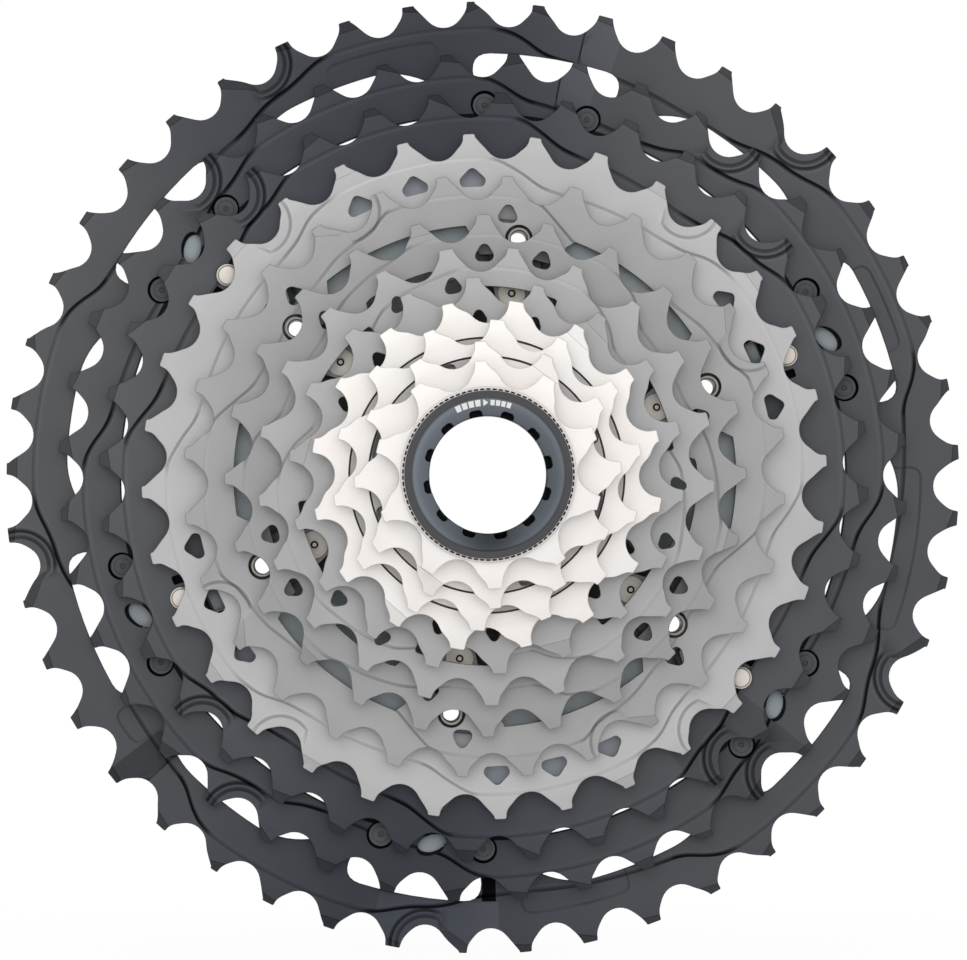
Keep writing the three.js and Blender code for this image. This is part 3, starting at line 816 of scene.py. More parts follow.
def blasted_metal(name, color, rough, metallic, grain, bump, mottle=0.05, tint=None, speck=0.12,
                  crevice=0.55, fans=None, bands=None):
    """Metal with a fine blasted grain, faint mottling, uneven gloss, painted shade in its crevices and the
    painted light and shade of the tone attribute.
    """
    material = bpy.data.materials.new(name)
    n = Nodes(material)
    place = n.place()
    fine = n.noise(place, Scale=grain, Detail=3.0, Roughness=0.6)
    broad = n.noise(place, Scale=MOTTLE_SCALE, Detail=4.0, Roughness=0.55)
    tone = n.add("Attribute", attribute_name="tone")
    look = n.ramp(broad, [(0.3, shade(color, 1 - mottle)), (0.7, shade(tint or color, 1 + mottle))])
    look = n.multiplied(look, n.ramp(fine, [(0.35, grey(0.7)), (0.6, grey(1))]), speck)
    # The tone attribute is painted light and shade: it is multiplied into the colour and also sets the
    # specular level.
    look = n.multiplied(look, (tone, "Color"))
    # Painted reflection on the rims by angle round the axis, from a radius of 60.6 mm out.
    if fans:
        rim_only = n.by_radius(place, [(60.2, grey(0)), (60.6, grey(1))], 100)
        look = n.multiplied(look, n.by_angle(place, fans), rim_only)
    # Painted sheen by radius.
    if bands:
        look = n.multiplied(look, n.by_radius(place, *bands))
    # Painted shade in crevices: ambient occlusion darkens the base colour.
    corners = n.add("AmbientOcclusion", {"Distance": CREVICE_REACH}, samples=6)
    crevice_shade = n.ramp((corners, "AO"), [(0.35, grey(0.05)), (0.85, grey(1))])
    bumps = n.add("Bump", {"Strength": bump, "Distance": GRAIN_DEPTH, "Height": fine})
    shader = n.add("BsdfPrincipled", {
        "Metallic": metallic,
        "Base Color": n.multiplied(look, crevice_shade, crevice),
        "Specular IOR Level": n.spread((tone, "Fac"), 0.0, 0.5),
        "Roughness": n.spread(broad, rough - 0.05, rough + 0.07),
        "Normal": (bumps, "Normal"),
    })
    n.add("OutputMaterial", {"Surface": (shader, "BSDF")})
    return material


def printed(name, color):
    material = bpy.data.materials.new(name)
    n = Nodes(material)
    tones = n.ramp(n.noise(n.place(), Scale=6000.0), [(0.3, shade(color, 0.85)), (0.6, color)])
    shader = n.add("BsdfPrincipled", {"Roughness": 0.6, "Base Color": tones})
    n.add("OutputMaterial", {"Surface": (shader, "BSDF")})
    return material


def titanium_finish(suffix, brightness):
    return blasted_metal("blasted_titanium" + suffix, shade(TITANIUM, brightness), 0.5, 0.55, 9000, 0.22)


def alloy_finish(suffix, brightness):
    color = shade(ALLOY, brightness)
    return blasted_metal(
        "anodised_alloy" + suffix, color, 0.5, 0.35, 8000, 0.25, 0.06, fans=ALLOY_FANS, crevice=0.8,
    )


def steel_finish(name, brightness, rough=0.4, metallic=0.4, crevice=0.8):
    return blasted_metal(name, shade(RIVET, brightness), rough, metallic, 5000, 0.2, crevice=crevice)


# Mottling per metre, the reach of the painted crevice shade and the depth of the grain in metres.
MOTTLE_SCALE = 70.0
CREVICE_REACH = 0.0016
GRAIN_DEPTH = 0.00006

TITANIUM = (0.40, 0.395, 0.398)
NICKEL = (0.89, 0.865, 0.845)
NICKEL_WARM = (0.9, 0.85, 0.815)
ALLOY = (0.065, 0.069, 0.0765)
SLATE = (0.385, 0.43, 0.455)
BLACK = (0.034, 0.032, 0.031)
LOCK = (0.075, 0.077, 0.083)
RIVET = (0.82, 0.76, 0.69)
SPACER = (0.42, 0.385, 0.36)
PRINT = (0.98, 0.98, 0.97)

# Painted reflection on the anodised rims: their brightness at angles round the axis, turning navy where they
# turn dark.
ALLOY_GLOW = [
    (-180, 1.1), (-156, 0.98), (-144, 0.92), (-132, 0.85), (-120, 0.7), (-108, 0.47), (-96, 0.48),
    (-84, 0.7), (-72, 0.83), (-60, 0.9), (-30, 0.97), (0, 1.0), (60, 1.03), (72, 0.87), (84, 0.62),
    (96, 0.5), (108, 0.57), (120, 0.68), (132, 0.82), (144, 1.04), (156, 1.1), (180, 1.1),
]
ALLOY_FANS = [(a, (glow * (0.5 + 0.5 * glow), glow * (0.65 + 0.35 * glow), glow)) for a, glow in ALLOY_GLOW]

# Painted sheen on the lock ring's cone by radius, brightest in a painted highlight near its outer edge and
# darker beyond, and the radius that their colour ramp runs to.
CONE_SHEEN = [
    (11.0, (1.3, 1.45, 1.6)), (12.8, (1.6, 1.75, 1.9)), (13.9, (2.2, 2.4, 2.55)), (14.3, (0.7, 0.68, 0.7)),
]
CONE_REACH = 30

# Lit and shaded copies of the titanium: each plate's brightness is painted light and shade.
titanium = titanium_finish("", 1.05)
titanium_light = titanium_finish("_light", 1.2)
titanium_mid = titanium_finish("_mid", 0.92)
titanium_dim = titanium_finish("_dim", 0.86)
nickel = blasted_metal("satin_nickel", NICKEL, 0.42, 0.45, 7000, 0.15, 0.03, NICKEL_WARM, 0.14)
alloy = alloy_finish("", 1.0)
# Lighter copy of the alloy for the 36T plate: painted light.
alloy_pale = alloy_finish("_pale", 1.09)
slate = blasted_metal("slate_alloy", SLATE, 0.55, 0.35, 3500, 0.6, 0.08, speck=0.35)
black = blasted_metal("black_alloy", BLACK, 0.5, 0.2, 6000, 0.3)
lock_black = blasted_metal("lock_ring_black", LOCK, 0.45, 0.3, 8000, 0.2, bands=(CONE_SHEEN, CONE_REACH))
rivet_steel = steel_finish("turned_steel", 1.0)
# Lit and shaded copies of the steel: the lit copy is painted light for rivets deep in their pits; the shaded
# and pale copies are painted shade.
rivet_lit = steel_finish("lit_steel", 1.2, 0.5, 0.0, 0.0)
rivet_shaded = steel_finish("shaded_steel", 0.42)
rivet_pale = steel_finish("pale_steel", 0.85)
rivet_black = blasted_metal("black_rivet", shade(ALLOY, 0.9), 0.6, 0.15, 6000, 0.3, crevice=0.8)
spacer_alloy = blasted_metal("spacer_alloy", SPACER, 0.5, 0.5, 5000, 0.3)
white_print = printed("white_print", PRINT)


# ------------------------------------------------------------------ sprockets
S45 = Sprocket(45, 2.9, 0.2, 0.35, "fhpmsgpmf")
S40 = Sprocket(40, 4.7, 0.2, 0.35, "hmmmsgmmfm")
S36 = Sprocket(36, 7.2, 0.2, 0.35, "mmmgmmfmm")
S32 = Sprocket(32, 2.35, 0.2, 0.6, "mmmsgmfm")
S28 = Sprocket(28, 7.9, 0.2, 0.6, "mfhfmfh")
S24 = Sprocket(24, 0.3, 0.1, 0.6, "mfmfmhfm")
S21 = Sprocket(21, 14.2, 0.1, 0.6, "ffmhmfm")
S18 = Sprocket(18, 12.7, 0.8, 0.6, "ffmhfm")
S16 = Sprocket(16, 11.0, 1.0, 0.5, "mfmf")
S14 = Sprocket(14, 7.5, 0.85, 0.5, "mfmfmfh")
S12 = Sprocket(12, 0.6, 0.95, 0.5, "mfm")
S10 = Sprocket(10, 19.6, 0.7, 0.5, "ffm")

# The dark plates get stronger painted light and shade: darker painted facets, full contrast and wider painted
# shadow lines.
DARK_PLATE = {"wall": 0.8, "facet_tone": 0.66, "contrast": 1.0, "band": 0.26, "taper": 0.45}


def build_45():
    relief = Relief(S45, **DARK_PLATE)
    edge = [(5, 81.0), (10, 81.7), (12.5, 84.3), (15.5, 86.0), (39.5, 86.0), (44, 83.4), (48.5, 82.5),
            (53, 80.2), (60, 79.6)]
    depth = [(8, 0.7), (15, 0.6), (18, 0.2), (36, 0.2), (40, 0.65), (46, 0.75), (70, 0.7)]
    relief.terrace(edge, depth, 72).scoops(5, 9, 5)
    relief.facets((1.3, 1.5, 1.9, 1.2, 2.1, 1.3, 2.2, 1.5, 1.4), (8, 14, -20, 10, 0, 12, 35, 5, 18))
    relief.tilt(72.5, 77, 80.5, 0.3, 1.3).tilt(218, 222, 79.0, 0.3, 0.62)
    # Pockets whose edges carry a painted highlight (1.3) or painted shade (0.85).
    relief.pockets(76, 84.9, [(96, 111.5)], 1.3)
    relief.pockets(76, 84.9, [(17, 29.5), (212.5, 218), (275, 290), (339, 361.5)], 0.85)
    # Painted light on the teeth at the bottom, and painted black shade on a strip beside the shortened end of
    # the window at the fifth arm.
    relief.tint(256, 272, 82.1, 95, 1.55).tint(ARM_ANGLES[4] + 7.9, ARM_ANGLES[4] + 9.8, 75.6, 81.9, 0.06)
    holes = [tabbed_edge(70.2, arm_tabs(12, 67.0))]
    for k, a in enumerate(ARM_ANGLES):
        holes.append(slot_loop(a - 11.2, a + (7.8 if k == 4 else 9.6), 75.2, 81.98, 3.4))
        holes.append(bowed_slot(a + 13.5, a + 45.5, 73.6, 80.35, 10.2, 0.056))
    holes += circles(2.2, RIVETS_40, DARK_RIVETS)
    plate(S45, holes, relief, alloy)


def build_40():
    relief = Relief(S40, **DARK_PLATE)
    edge = [(-12, 71.6), (-8, 72.3), (-4, 75.4), (-2, 76.3), (46, 76.3), (50, 74.0), (54, 73.1),
            (58, 73.1), (61, 71.2), (66, 70.2), (78, 71.4), (84, 72.3), (88, 75.4), (90, 76.3),
            (125.5, 76.3), (130.5, 73.8), (135, 73.1), (141, 71), (150, 70.2)]
    depth = [(-8, 0.7), (0, 0.5), (3, 0.18), (43, 0.18), (47, 0.65), (60, 0.7), (82, 0.7), (90, 0.5),
             (93, 0.18), (123, 0.18), (127, 0.65), (140, 0.7)]
    relief.terrace(edge, depth, 180)
    for half in (0, 20):
        relief.scoops(5 + half, 9, 2)
    relief.facets((1.4, 1.2, 2.0, 1.3, 2.2), (10, 25, 0, 14, -15))
    # Painted shade on the inner edge and tabs behind the 36T, and a sector painted darker as part of the
    # rims' painted reflection.
    relief.tilt(74, 79, 71.8, 0.3, 1.3).tint(0, 360, 60, 69.95, 0.15).tint(307, 320, 70, 90, 0.8)
    holes = [tabbed_edge(69.72, arm_tabs(12, 66.9))]
    holes += circles(2.62, 71.66, DARK_RIVETS, 40)
    holes += [sight_hole(a) for k, a in enumerate(ARM_ANGLES) if k != 1]
    plate(S40, holes, relief, alloy)


def build_36():
    relief = Relief(S36, **DARK_PLATE)
    edge = [(-17, 63.2), (-13, 64.0), (-8, 67.2), (-6, 68.4), (33, 68.4), (38, 66.0), (43.5, 65.3), (49, 63),
            (54, 62.2)]
    depth = [(-14, 0.7), (-6, 0.5), (-3, 0.18), (31, 0.18), (35, 0.65), (48, 0.7)]
    relief.terrace(edge, depth, 90).scoops(3, 9, 4)
    relief.facets((1.4, 1.3, 2.2, 1.2, 1.5, 2.0), (10, 20, 0, 30, 5, -12))
    for start, middle, late, stop in ((35, 80, 130, 180), (215, 268, 310, 360)):
        for sector in ((start, middle, 2.6), (middle, late, 5.5), (late, stop, 2.6)):
            relief.tint(*sector[:2], 54, 60.2, sector[2])
    # A sector painted darker as part of the rims' painted reflection.
    relief.tint(304, 320, 60.5, 80, 0.8)
    holes = [tabbed_edge(54.6, arm_tabs(4.9, 59.1), 0.3, 0.25)]
    for a in ARM_ANGLES[:1] + ARM_ANGLES[2:4] + ARM_ANGLES[5:]:
        holes += [slot_loop(a + start, a + start + 1.5, 60.6, 62.9, 0.4) for start in (-4.1, 2.6)]
    holes += circles(1.7, RIVETS_36, ARM_ANGLES)
    plate(S36, holes, relief, alloy_pale)


def build_32():
    relief = Relief(S32, 0.6)
    edge = [(-16, 55.4), (-11, 55.8), (-7, 58.0), (-2, 60.4), (39, 60.4), (44, 59.4), (48.5, 57),
            (53, 56.2), (74, 55.4), (79, 55.8), (83, 58.0), (88, 60.4), (118, 60.4), (124, 59.4),
            (128.5, 57), (133, 56.2)]
    depth = [(-14, 0.55), (-3, 0.4), (2, 0.12), (36, 0.12), (42, 0.5), (78, 0.55), (87, 0.4), (92, 0.12),
             (115, 0.12), (121, 0.5), (140, 0.55)]
    relief.terrace(edge, depth, 180)
    for half in (0, 16):
        relief.scoops(4 + half, 7, 2, 6.4, 0.42, 0)
        for tooth in (3, 5, 10, 12):
            relief.facet(tooth + half, 0.3)
    tabs = arm_tabs(4.5, 49.9)
    for k in (1, 4):
        tabs[k] = (ARM_ANGLES[k] - 8, ARM_ANGLES[k] + 8, 48.4)
    holes = [tabbed_edge(52.4, tabs)]
    holes += [house_hole(S32.tooth_angle(t), 57.2, 2.05) for t in (1, 2, 3, 8, 9, 10, 17, 18, 19, 24, 25, 26)]
    holes += circles(1.35, RIVETS_32, ARM_ANGLES, 14)
    plate(S32, holes, relief, titanium_light)


def egg_holes(sprocket, place, size, teeth):
    return [egg_hole(sprocket.tooth_angle(t), place, size) for t in teeth]


def build_28():
    # Painted shade on the ring seen through the 24T's holes.
    relief = Relief(S28, 0.6).tint(0, 360, 40.3, 44.4, 0.6)
    edge = [(-21, 47.0), (-17, 49.1), (-11, 52.8), (16, 53.4), (21.5, 53.2), (23, 51.6), (26.5, 50.8),
            (34, 49.9), (40, 48.5), (60, 46)]
    depth = [(-18, 0.5), (-11, 0.4), (-6, 0.12), (12, 0.12), (20, 0.5), (40, 0.35), (60, 0.5)]
    relief.terrace(edge, depth, 90).scoops(1, 7, 4, 6.2, 0.38, 0)
    for turn in range(4):
        relief.facet(2 + 7 * turn, 0.3, 2.2, 30)
    tabs = [(a - 11, a + (24.6 if k in (2, 5) else 11), 42.2) for k, a in enumerate(ARM_ANGLES)]
    holes = [tabbed_edge(47.8, tabs, 3.0)] + egg_holes(S28, 50.0, 1.7, (6, 10, 20, 24))
    holes += circles(2.62, TUBE_RIVETS, ARM_ANGLES, 32)
    plate(S28, holes, relief, titanium_mid)


def build_24():
    relief = Relief(S24, 0.6)
    edge = [(36, 40), (44, 40.2), (50, 43.7), (57, 45.4), (108, 45.4), (113, 44.2), (120, 43.5), (128, 42.5),
            (140, 40)]
    depth = [(40, 0.45), (55, 0.4), (62, 0.12), (100, 0.12), (108, 0.4), (130, 0.45)]
    relief.terrace(edge, depth, 120)
    for tooth in (7, 15, 23):
        relief.facet(tooth, 0.3, 2.4)
    cut_backs = [(104 + turn, 125 + turn, 40.1) for turn in (0, 120, 240)]
    holes = [tabbed_edge(37.6, arm_tabs(5.2, 31.9) + cut_backs)]
    holes += egg_holes(S24, 42.2, 1.65, (1, 5, 6, 9, 13, 14, 17, 21, 22))
    holes += circles(1.6, CARRIER_RIVETS, ARM_ANGLES, 14)
    plate(S24, holes, relief, titanium_dim)


def build_21():
    relief = Relief(S21, 0.6)
    edge = [(36, 33.4), (45, 33.6), (50, 36.0), (57, 38.2), (62, 39), (97, 39), (104, 38.2), (113, 37.5),
            (122, 36.5), (130, 34)]
    depth = [(40, 0.45), (58, 0.4), (64, 0.12), (92, 0.12), (100, 0.4), (125, 0.45)]
    relief.terrace(edge, depth, 120)
    holes = [slot_loop(a - 14, a + 14, 28.0, 35.85, 0.6) for a in ARM_ANGLES]
    holes += [circle(HUB_RADIUS, count=72)] + egg_holes(S21, 36.3, 1.5, (5, 6, 12, 13, 19, 20))
    plate(S21, holes, relief, titanium)


def build_18():
    relief = Relief(S18)
    for tooth in (2, 8, 14):
        relief.facet(tooth, 0.3, 3.2, 10)
    holes = egg_holes(S18, 29.7, 1.4, [t for t in range(18) if t % 3 < 2]) + [circle(HUB_RADIUS, count=72)]
    plate(S18, holes, relief, titanium)


def sunk_relief(sprocket, groove, recess, shadow):
    """Relief with a sunk centre behind a groove, with painted shade out to a radius but for two gaps."""
    relief = Relief(sprocket, 0.3).groove(groove).recess(recess)
    return relief.tint(85, 240, 16, shadow, 0.55).tint(268, 420, 16, shadow, 0.55)


def build_16():
    relief = sunk_relief(S16, 26.05, 26.0, 25.6)
    for tooth in (2, 10):
        relief.facet(tooth, 0.25, 2.6, 10)
    plate(S16, [splined_bore()], relief, nickel)


def build_14():
    windows = [27 + 45 * k for k in (0, 2, 3, 4, 6, 7)]
    holes = [splined_bore()] + [slot_loop(a - 10.5, a + 10.5, 19.4, 21.9, 1.2) for a in windows]
    plate(S14, holes, sunk_relief(S14, 22.4, 22.3, 21.95), nickel)


def build_12():
    relief = Relief(S12)
    for tooth in (2, 8):
        relief.facet(tooth, 0.3, 3.4, 10)
    plate(S12, [splined_bore()], relief, nickel)


def build_10():
    """Plate and the collar behind it."""
    back, bore, collar = S10.back, 14.3, 15.7
    S10.back = S10.front - 1.6
    plate(S10, [circle(bore, count=96)], Relief(S10, taper=0.3), nickel)
    joint = S10.back + 0.2
    profile = rounded_loop([(bore, back), (collar, back), (collar, joint), (bore, joint)], 0.12, 3)
    stand_for(lathe("sprocket_10t_collar", profile, nickel), S10.node)


# ------------------------------------------------------------------ spider and carrier
def across_arm(points):
    """Distance of each point from the nearest arm's centre line."""
    away = (angle_of(points) - ARM_ANGLES[0] + 30) % 60 - 30
    return np.abs(radius_of(points) * np.sin(np.radians(away)))


def arm_side(centre, side):
    """Points along one side of an arm, from the dish out to its widened end."""
    out, across = axes(centre)
    bar = [(ARM_FOOT, ARM_HALF + 3.5), (ARM_FOOT + 3.5, ARM_HALF), (PAD_INNER - 2.5, ARM_HALF)]
    points = [math.sqrt(r**2 - offset**2) * out + side * offset * across for r, offset in bar]
    end = [(PAD_INNER, PAD_HALF), (PAD_OUTER, PAD_HALF - 1.2)]
    return points + [polar(r, centre + side * away) for r, away in end]


def spider_outline():
    corners = []
    for a in ARM_ANGLES:
        tip = list(arc(PAD_OUTER, a - PAD_HALF + 3, a + PAD_HALF - 3, 9))
        corners += arm_side(a, -1) + tip + arm_side(a, 1)[::-1] + list(arc(49.0, a + 11, a + 49, 11))
    return rounded_loop(corners, 1.2, 3)


def build_spider():
    hub_front, hub_back = extent("main_spider")[:2]
    base = (S45.front + S45.back) / 2
    step_40, step_36, step_32, step_28 = (s.back - 0.1 for s in (S40, S36, S32, S28))
    arm_top = [(16, base + 11.5), (24, base + 11.5), (41, step_28), (49, step_28), (49.6, step_32),
               (57.6, step_32), (58.6, step_36), (65.8, step_36), (66.5, step_40), (80, step_40)]
    dish_top = [(16, base + 9.5), (22, base + 10.2), (40, step_28 - 1.2), (80, step_28 - 1.2)]
    arm_under = [(16, base + 1.5), (26, base + 3.6), (40, base + 6), (48, base + 3.5), (64, base + 1.1),
                 (80, base + 1.1)]
    dish_under = [(16, base + 6.5), (40, base + 9.5), (80, base + 9.5)]
    web_ease = 0.4
    hub_edge, hub_foot = (HUB_RADIUS, HUB_RADIUS + 0.3), (21.5, 22.0)
    # Tones painted on the spider: paler ends of the arms, painted shade in bands under the plates' holes, and
    # painted black shade in gaps that show nothing but black.
    pale, shadowed, dark = 1.65, 0.45, 0.05
    shadows = [(40.4, 44.4), (47.9, 52.3), (54.6, 60.2)]
    spots = [(polar(RIVETS_40, a), 3.3, 24) for a in DARK_RIVETS]
    spots += [(polar(61.8, a + side), 2.2, 16) for a in ARM_ANGLES for side in (-3.4, 3.4)]
    # A painted lit patch in each sight hole, off its centre.
    lit_patches = [sight_hole(a) - 0.5 * polar(1, a + 30) + 0.45 * polar(1, a + 120) for a in ARM_ANGLES]

    steps = (24.0, 40.0, 41.0, 49.01, 49.6, 57.6, 58.6, 65.8, 66.5)
    lines = [ring(r) for r in hub_edge + hub_foot + steps]
    for a in ARM_ANGLES:
        out, across = axes(a)
        for side in (-1, 1):
            for width, reach in ((ARM_HALF, 67), (ARM_HALF + web_ease, 48.6)):
                lines.append(np.linspace(19.5, reach, 24)[:, None] * out + side * width * across)
    lines += [ring(r) for shadow in shadows for r in shadow]
    lines += [closed_line(pad) for pad in lit_patches]
    lines += [place + ring(radius, count) for place, radius, count in spots]

    def web(points, arm, dish):
        """Height of the dish, changing to the height of the arms across their sides."""
        r = radius_of(points)
        on_arm, on_dish = (np.interp(r, *np.array(table).T) for table in (arm, dish))
        share = np.where(r > 50, 1.0, np.clip(1 - (across_arm(points) - ARM_HALF) / web_ease, 0, 1))
        return on_dish + (on_arm - on_dish) * share

    def top_at(points):
        r = radius_of(points)
        hub = np.interp(r, hub_edge, [hub_front, base + 11.5])
        return np.where(r < hub_edge[1] + 0.01, hub, web(points, arm_top, dish_top))

    def bottom_at(points):
        r = radius_of(points)
        under = web(points, arm_under, dish_under)
        hub = np.interp(r, hub_foot, [hub_back, base + 3])
        return np.where(r < hub_foot[1] + 0.01, np.minimum(hub, under), under)

    def flat_tone_at(middles):
        r = radius_of(middles)
        in_shadow = sum((r > start) & (r < stop) for start, stop in shadows) > 0
        total = np.where(r > 66, pale, np.where(in_shadow, shadowed, 1.0))
        # Each sight hole is painted dark as shade but for its lit patch; the spots are painted black as
        # shade.
        for a, pad in zip(ARM_ANGLES, lit_patches):
            total[radius_of(middles - polar(RIVETS_40, a)) < 4.2] = 0.06
            total[inside(middles, pad)] = 1.05
        for place, radius, count in spots:
            total[radius_of(middles - place) < radius] = dark
        return total

    holes = [splined_bore()] + circles(2.2, RIVETS_40, DARK_RIVETS, 24)
    for place, size in ((TUBE_RIVETS, 2.3), (RIVETS_32, 1.1), (RIVETS_36, 1.4)):
        holes += circles(size, place, ARM_ANGLES)
    piece = heights_solid(
        "main_spider_body", spider_outline(), holes, lines, top_at, bottom_at, slate, 0.25,
        flat_tone_at=flat_tone_at,
    )
    stand_for(piece, "main_spider")


def build_carrier():
    front, back = extent("small_carrier")[:2]
    step, flange, seat = S21.back - 0.1, S24.front + 0.4, S24.back - 0.1
    heights = np.array([(16, front), (18.9, front), (19.05, step), (22.0, step), (27.0, flange), (27.2, seat),
                        (40, seat)])
    corners = []
    for a in ARM_ANGLES:
        corners += list(arc(37.2, a - 9, a + 9, 7)) + list(arc(27.0, a + 15, a + 45, 7))

    def top_at(points):
        return np.interp(radius_of(points), *heights.T)

    def bottom_at(points):
        return np.where(radius_of(points) > 27.1, back, back + 0.9)

    piece = heights_solid(
        "small_carrier_body", rounded_loop(corners, 1.5, 3),
        [splined_bore()] + circles(1.52, CARRIER_RIVETS, ARM_ANGLES, 16),
        [ring(r) for r in (18.9, 19.05, 22.0, 27.0, 27.2)], top_at, bottom_at, black, 0.15,
    )
    stand_for(piece, "small_carrier")


def build_spacers():
    bore = 16.8
    for node in ("spacer_18t_16t", "spacer_16t_14t", "spacer_14t_12t"):
        front, back, outer = extent(node)
        section = rounded_loop([(bore, back), (outer, back), (outer, front), (bore, front)], 0.2, 3)
        stand_for(lathe(node + "_ring", section, spacer_alloy, segments=120), node)


# ------------------------------------------------------------------ lock ring
def notch_loop(angle, grow=0.0):
    """Outline of one tool notch, or of a slightly larger one round it."""
    out, across = axes(angle)
    shoulder, outer, narrow, wide = np.array([11.7, 12.15, 0.75, 1.2]) + grow
    half = [(9.5, wide), (shoulder, wide), (outer, narrow)]
    corners = [(x, -y) for x, y in half] + half[::-1]
    return rounded_loop([x * out + y * across for x, y in corners], 0.2, 2)


def build_lock_ring():
    front, back = extent("lock_ring")[:2]
    flange_back = extent("lock_ring_washer")[0] + 0.1
    bore, sleeve, cone, rim = 10.95, 13.75, 14.3, 15.62
    face = np.array([(10, front - 3.3), (cone - 0.05, front - 0.08), (cone + 0.05, front), (rim, front)])
    notch_floor = front - 6.2
    notch_angles = [11.7 + 30 * i for i in range(12)]
    notches = [notch_loop(a) for a in notch_angles]
    cuts = [offset_loop(counter_clockwise(loop), -0.01) for loop in notches]

    def in_any(points, loops):
        return sum(inside(points, loop) for loop in loops) > 0

    def top_at(points):
        return np.where(in_any(points, cuts), notch_floor, np.interp(radius_of(points), *face.T))

    def bottom_at(points):
        return np.where(radius_of(points) > sleeve, flange_back, back)

    def tone_at(points):
        """Painted light and shade on the cone: darker below and a little paler on one side, as the light
        falls.
        """
        angles = angle_of(points)
        under = np.exp(-(((angles + 90) / 30) ** 2))
        side = np.cos(np.radians(angles - 160))
        return np.where(radius_of(points) < cone, 1.25 - 0.75 * under + 0.2 * side, 1.0)

    def flat_tone_at(middles):
        # The tool notches are painted nearly black as shade.
        return np.where(in_any(middles, notches), 0.08, 1.0)

    lines = [ring(r, 144) for r in (sleeve - 0.05, sleeve + 0.05, cone - 0.05, cone + 0.05, 15.3)]
    lines += [closed_line(loop) for loop in notches + [notch_loop(a, 0.06) for a in notch_angles]]
    piece = heights_solid(
        "lock_ring_body", circle(rim, count=144), [circle(bore, count=144)], lines, top_at, bottom_at,
        lock_black, 0.18, tone_at, flat_tone_at,
    )
    stand_for(piece, "lock_ring")
    build_thread(back, flange_back)
    build_print(face)


def build_thread(back, front):
    """Screw thread on the sleeve behind the flange."""
    pitch, segments = 1.0, 96
    core, crest, bore, run_in = 13.62, 0.36, 13.3, 0.6
    heights = np.arange(back + 0.1, front, 0.1)
    turns = np.arange(segments) / segments
    profile = []
    for height in heights:
        wave = np.abs((height / pitch - turns) % 1 * 2 - 1)
        profile.append((core + crest * wave * min(1, (height - heights[0]) / run_in), height))
    profile += [(bore, heights[-1]), (bore, heights[0])]
    piece = lathe("lock_ring_thread", profile, lock_black, segments=segments, sharp=60)
    stand_for(piece, "lock_ring")


def build_print(face):
    """Generic turning arrow between two rows of blocks, printed on the cone."""
    shapes = [[(14.05, 94.2), (12.75, 94.2), (13.4, 90.2)]]
    for first, step, half, inner, outer in ((98.5, 5.4, 2.1, 12.8, 14.0), (86.8, -4.4, 1.7, 12.9, 13.9)):
        for middle in [first + step * k for k in range(4)]:
            start, stop = middle - half, middle + half
            shapes.append([(outer, start), (inner, start), (inner, stop), (outer, stop)])
    plans = [counter_clockwise(polar(*np.array(shape).T)) for shape in shapes]
    faces, first = [], 0
    for plan in plans:
        faces += [(first, first + i, first + i + 1) for i in range(1, len(plan) - 1)]
        first += len(plan)
    points = np.concatenate(plans)
    height = np.interp(radius_of(points), *face.T)
    verts, polygons = solid_from_plan(points, np.array(faces), height + 0.05, height - 0.05)
    piece = make_object("lock_ring_print", verts, polygons, white_print)
    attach(piece, BODY_OF["lock_ring"])
    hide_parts("lock_ring")


def build_washer():
    """Friction washer with sunk serrations round its rim, painted nearly black as shade."""
    front, back = extent("lock_ring_washer")[:2]
    count, half, sunk = 86, 1.4, 0.15
    pitch = 360 / count
    inner, outer = 15.74, 16.05

    def in_cut(points, slack):
        """Which points lie in one of the serrations."""
        away = np.abs(angle_of(points) / pitch % 1 - 0.5) * pitch
        r = radius_of(points)
        return (away < half + slack) & (r > inner) & (r < outer + slack)

    lines = [ring(r, 4 * count) for r in (inner, outer)]
    for middle in (np.arange(count) + 0.5) * pitch:
        lines += [polar(np.array([inner, outer]), middle + side) for side in (-half, half)]
    piece = heights_solid(
        "lock_ring_washer_body", circle(16.3, count=144), [circle(14.3, count=120)], lines,
        lambda points: front * plain(points), lambda points: back * plain(points), nickel, 0.05,
        flat_tone_at=lambda middles: np.where(in_cut(middles, 0), 0.03, 1.0),
    )
    for vertex in piece.data.vertices:
        x, y, z = vertex.co / MM
        if -y > front - 0.1 and in_cut(np.array([[x, z]]), -0.05)[0]:
            vertex.co.y += sunk * MM
    stand_for(piece, "lock_ring_washer")


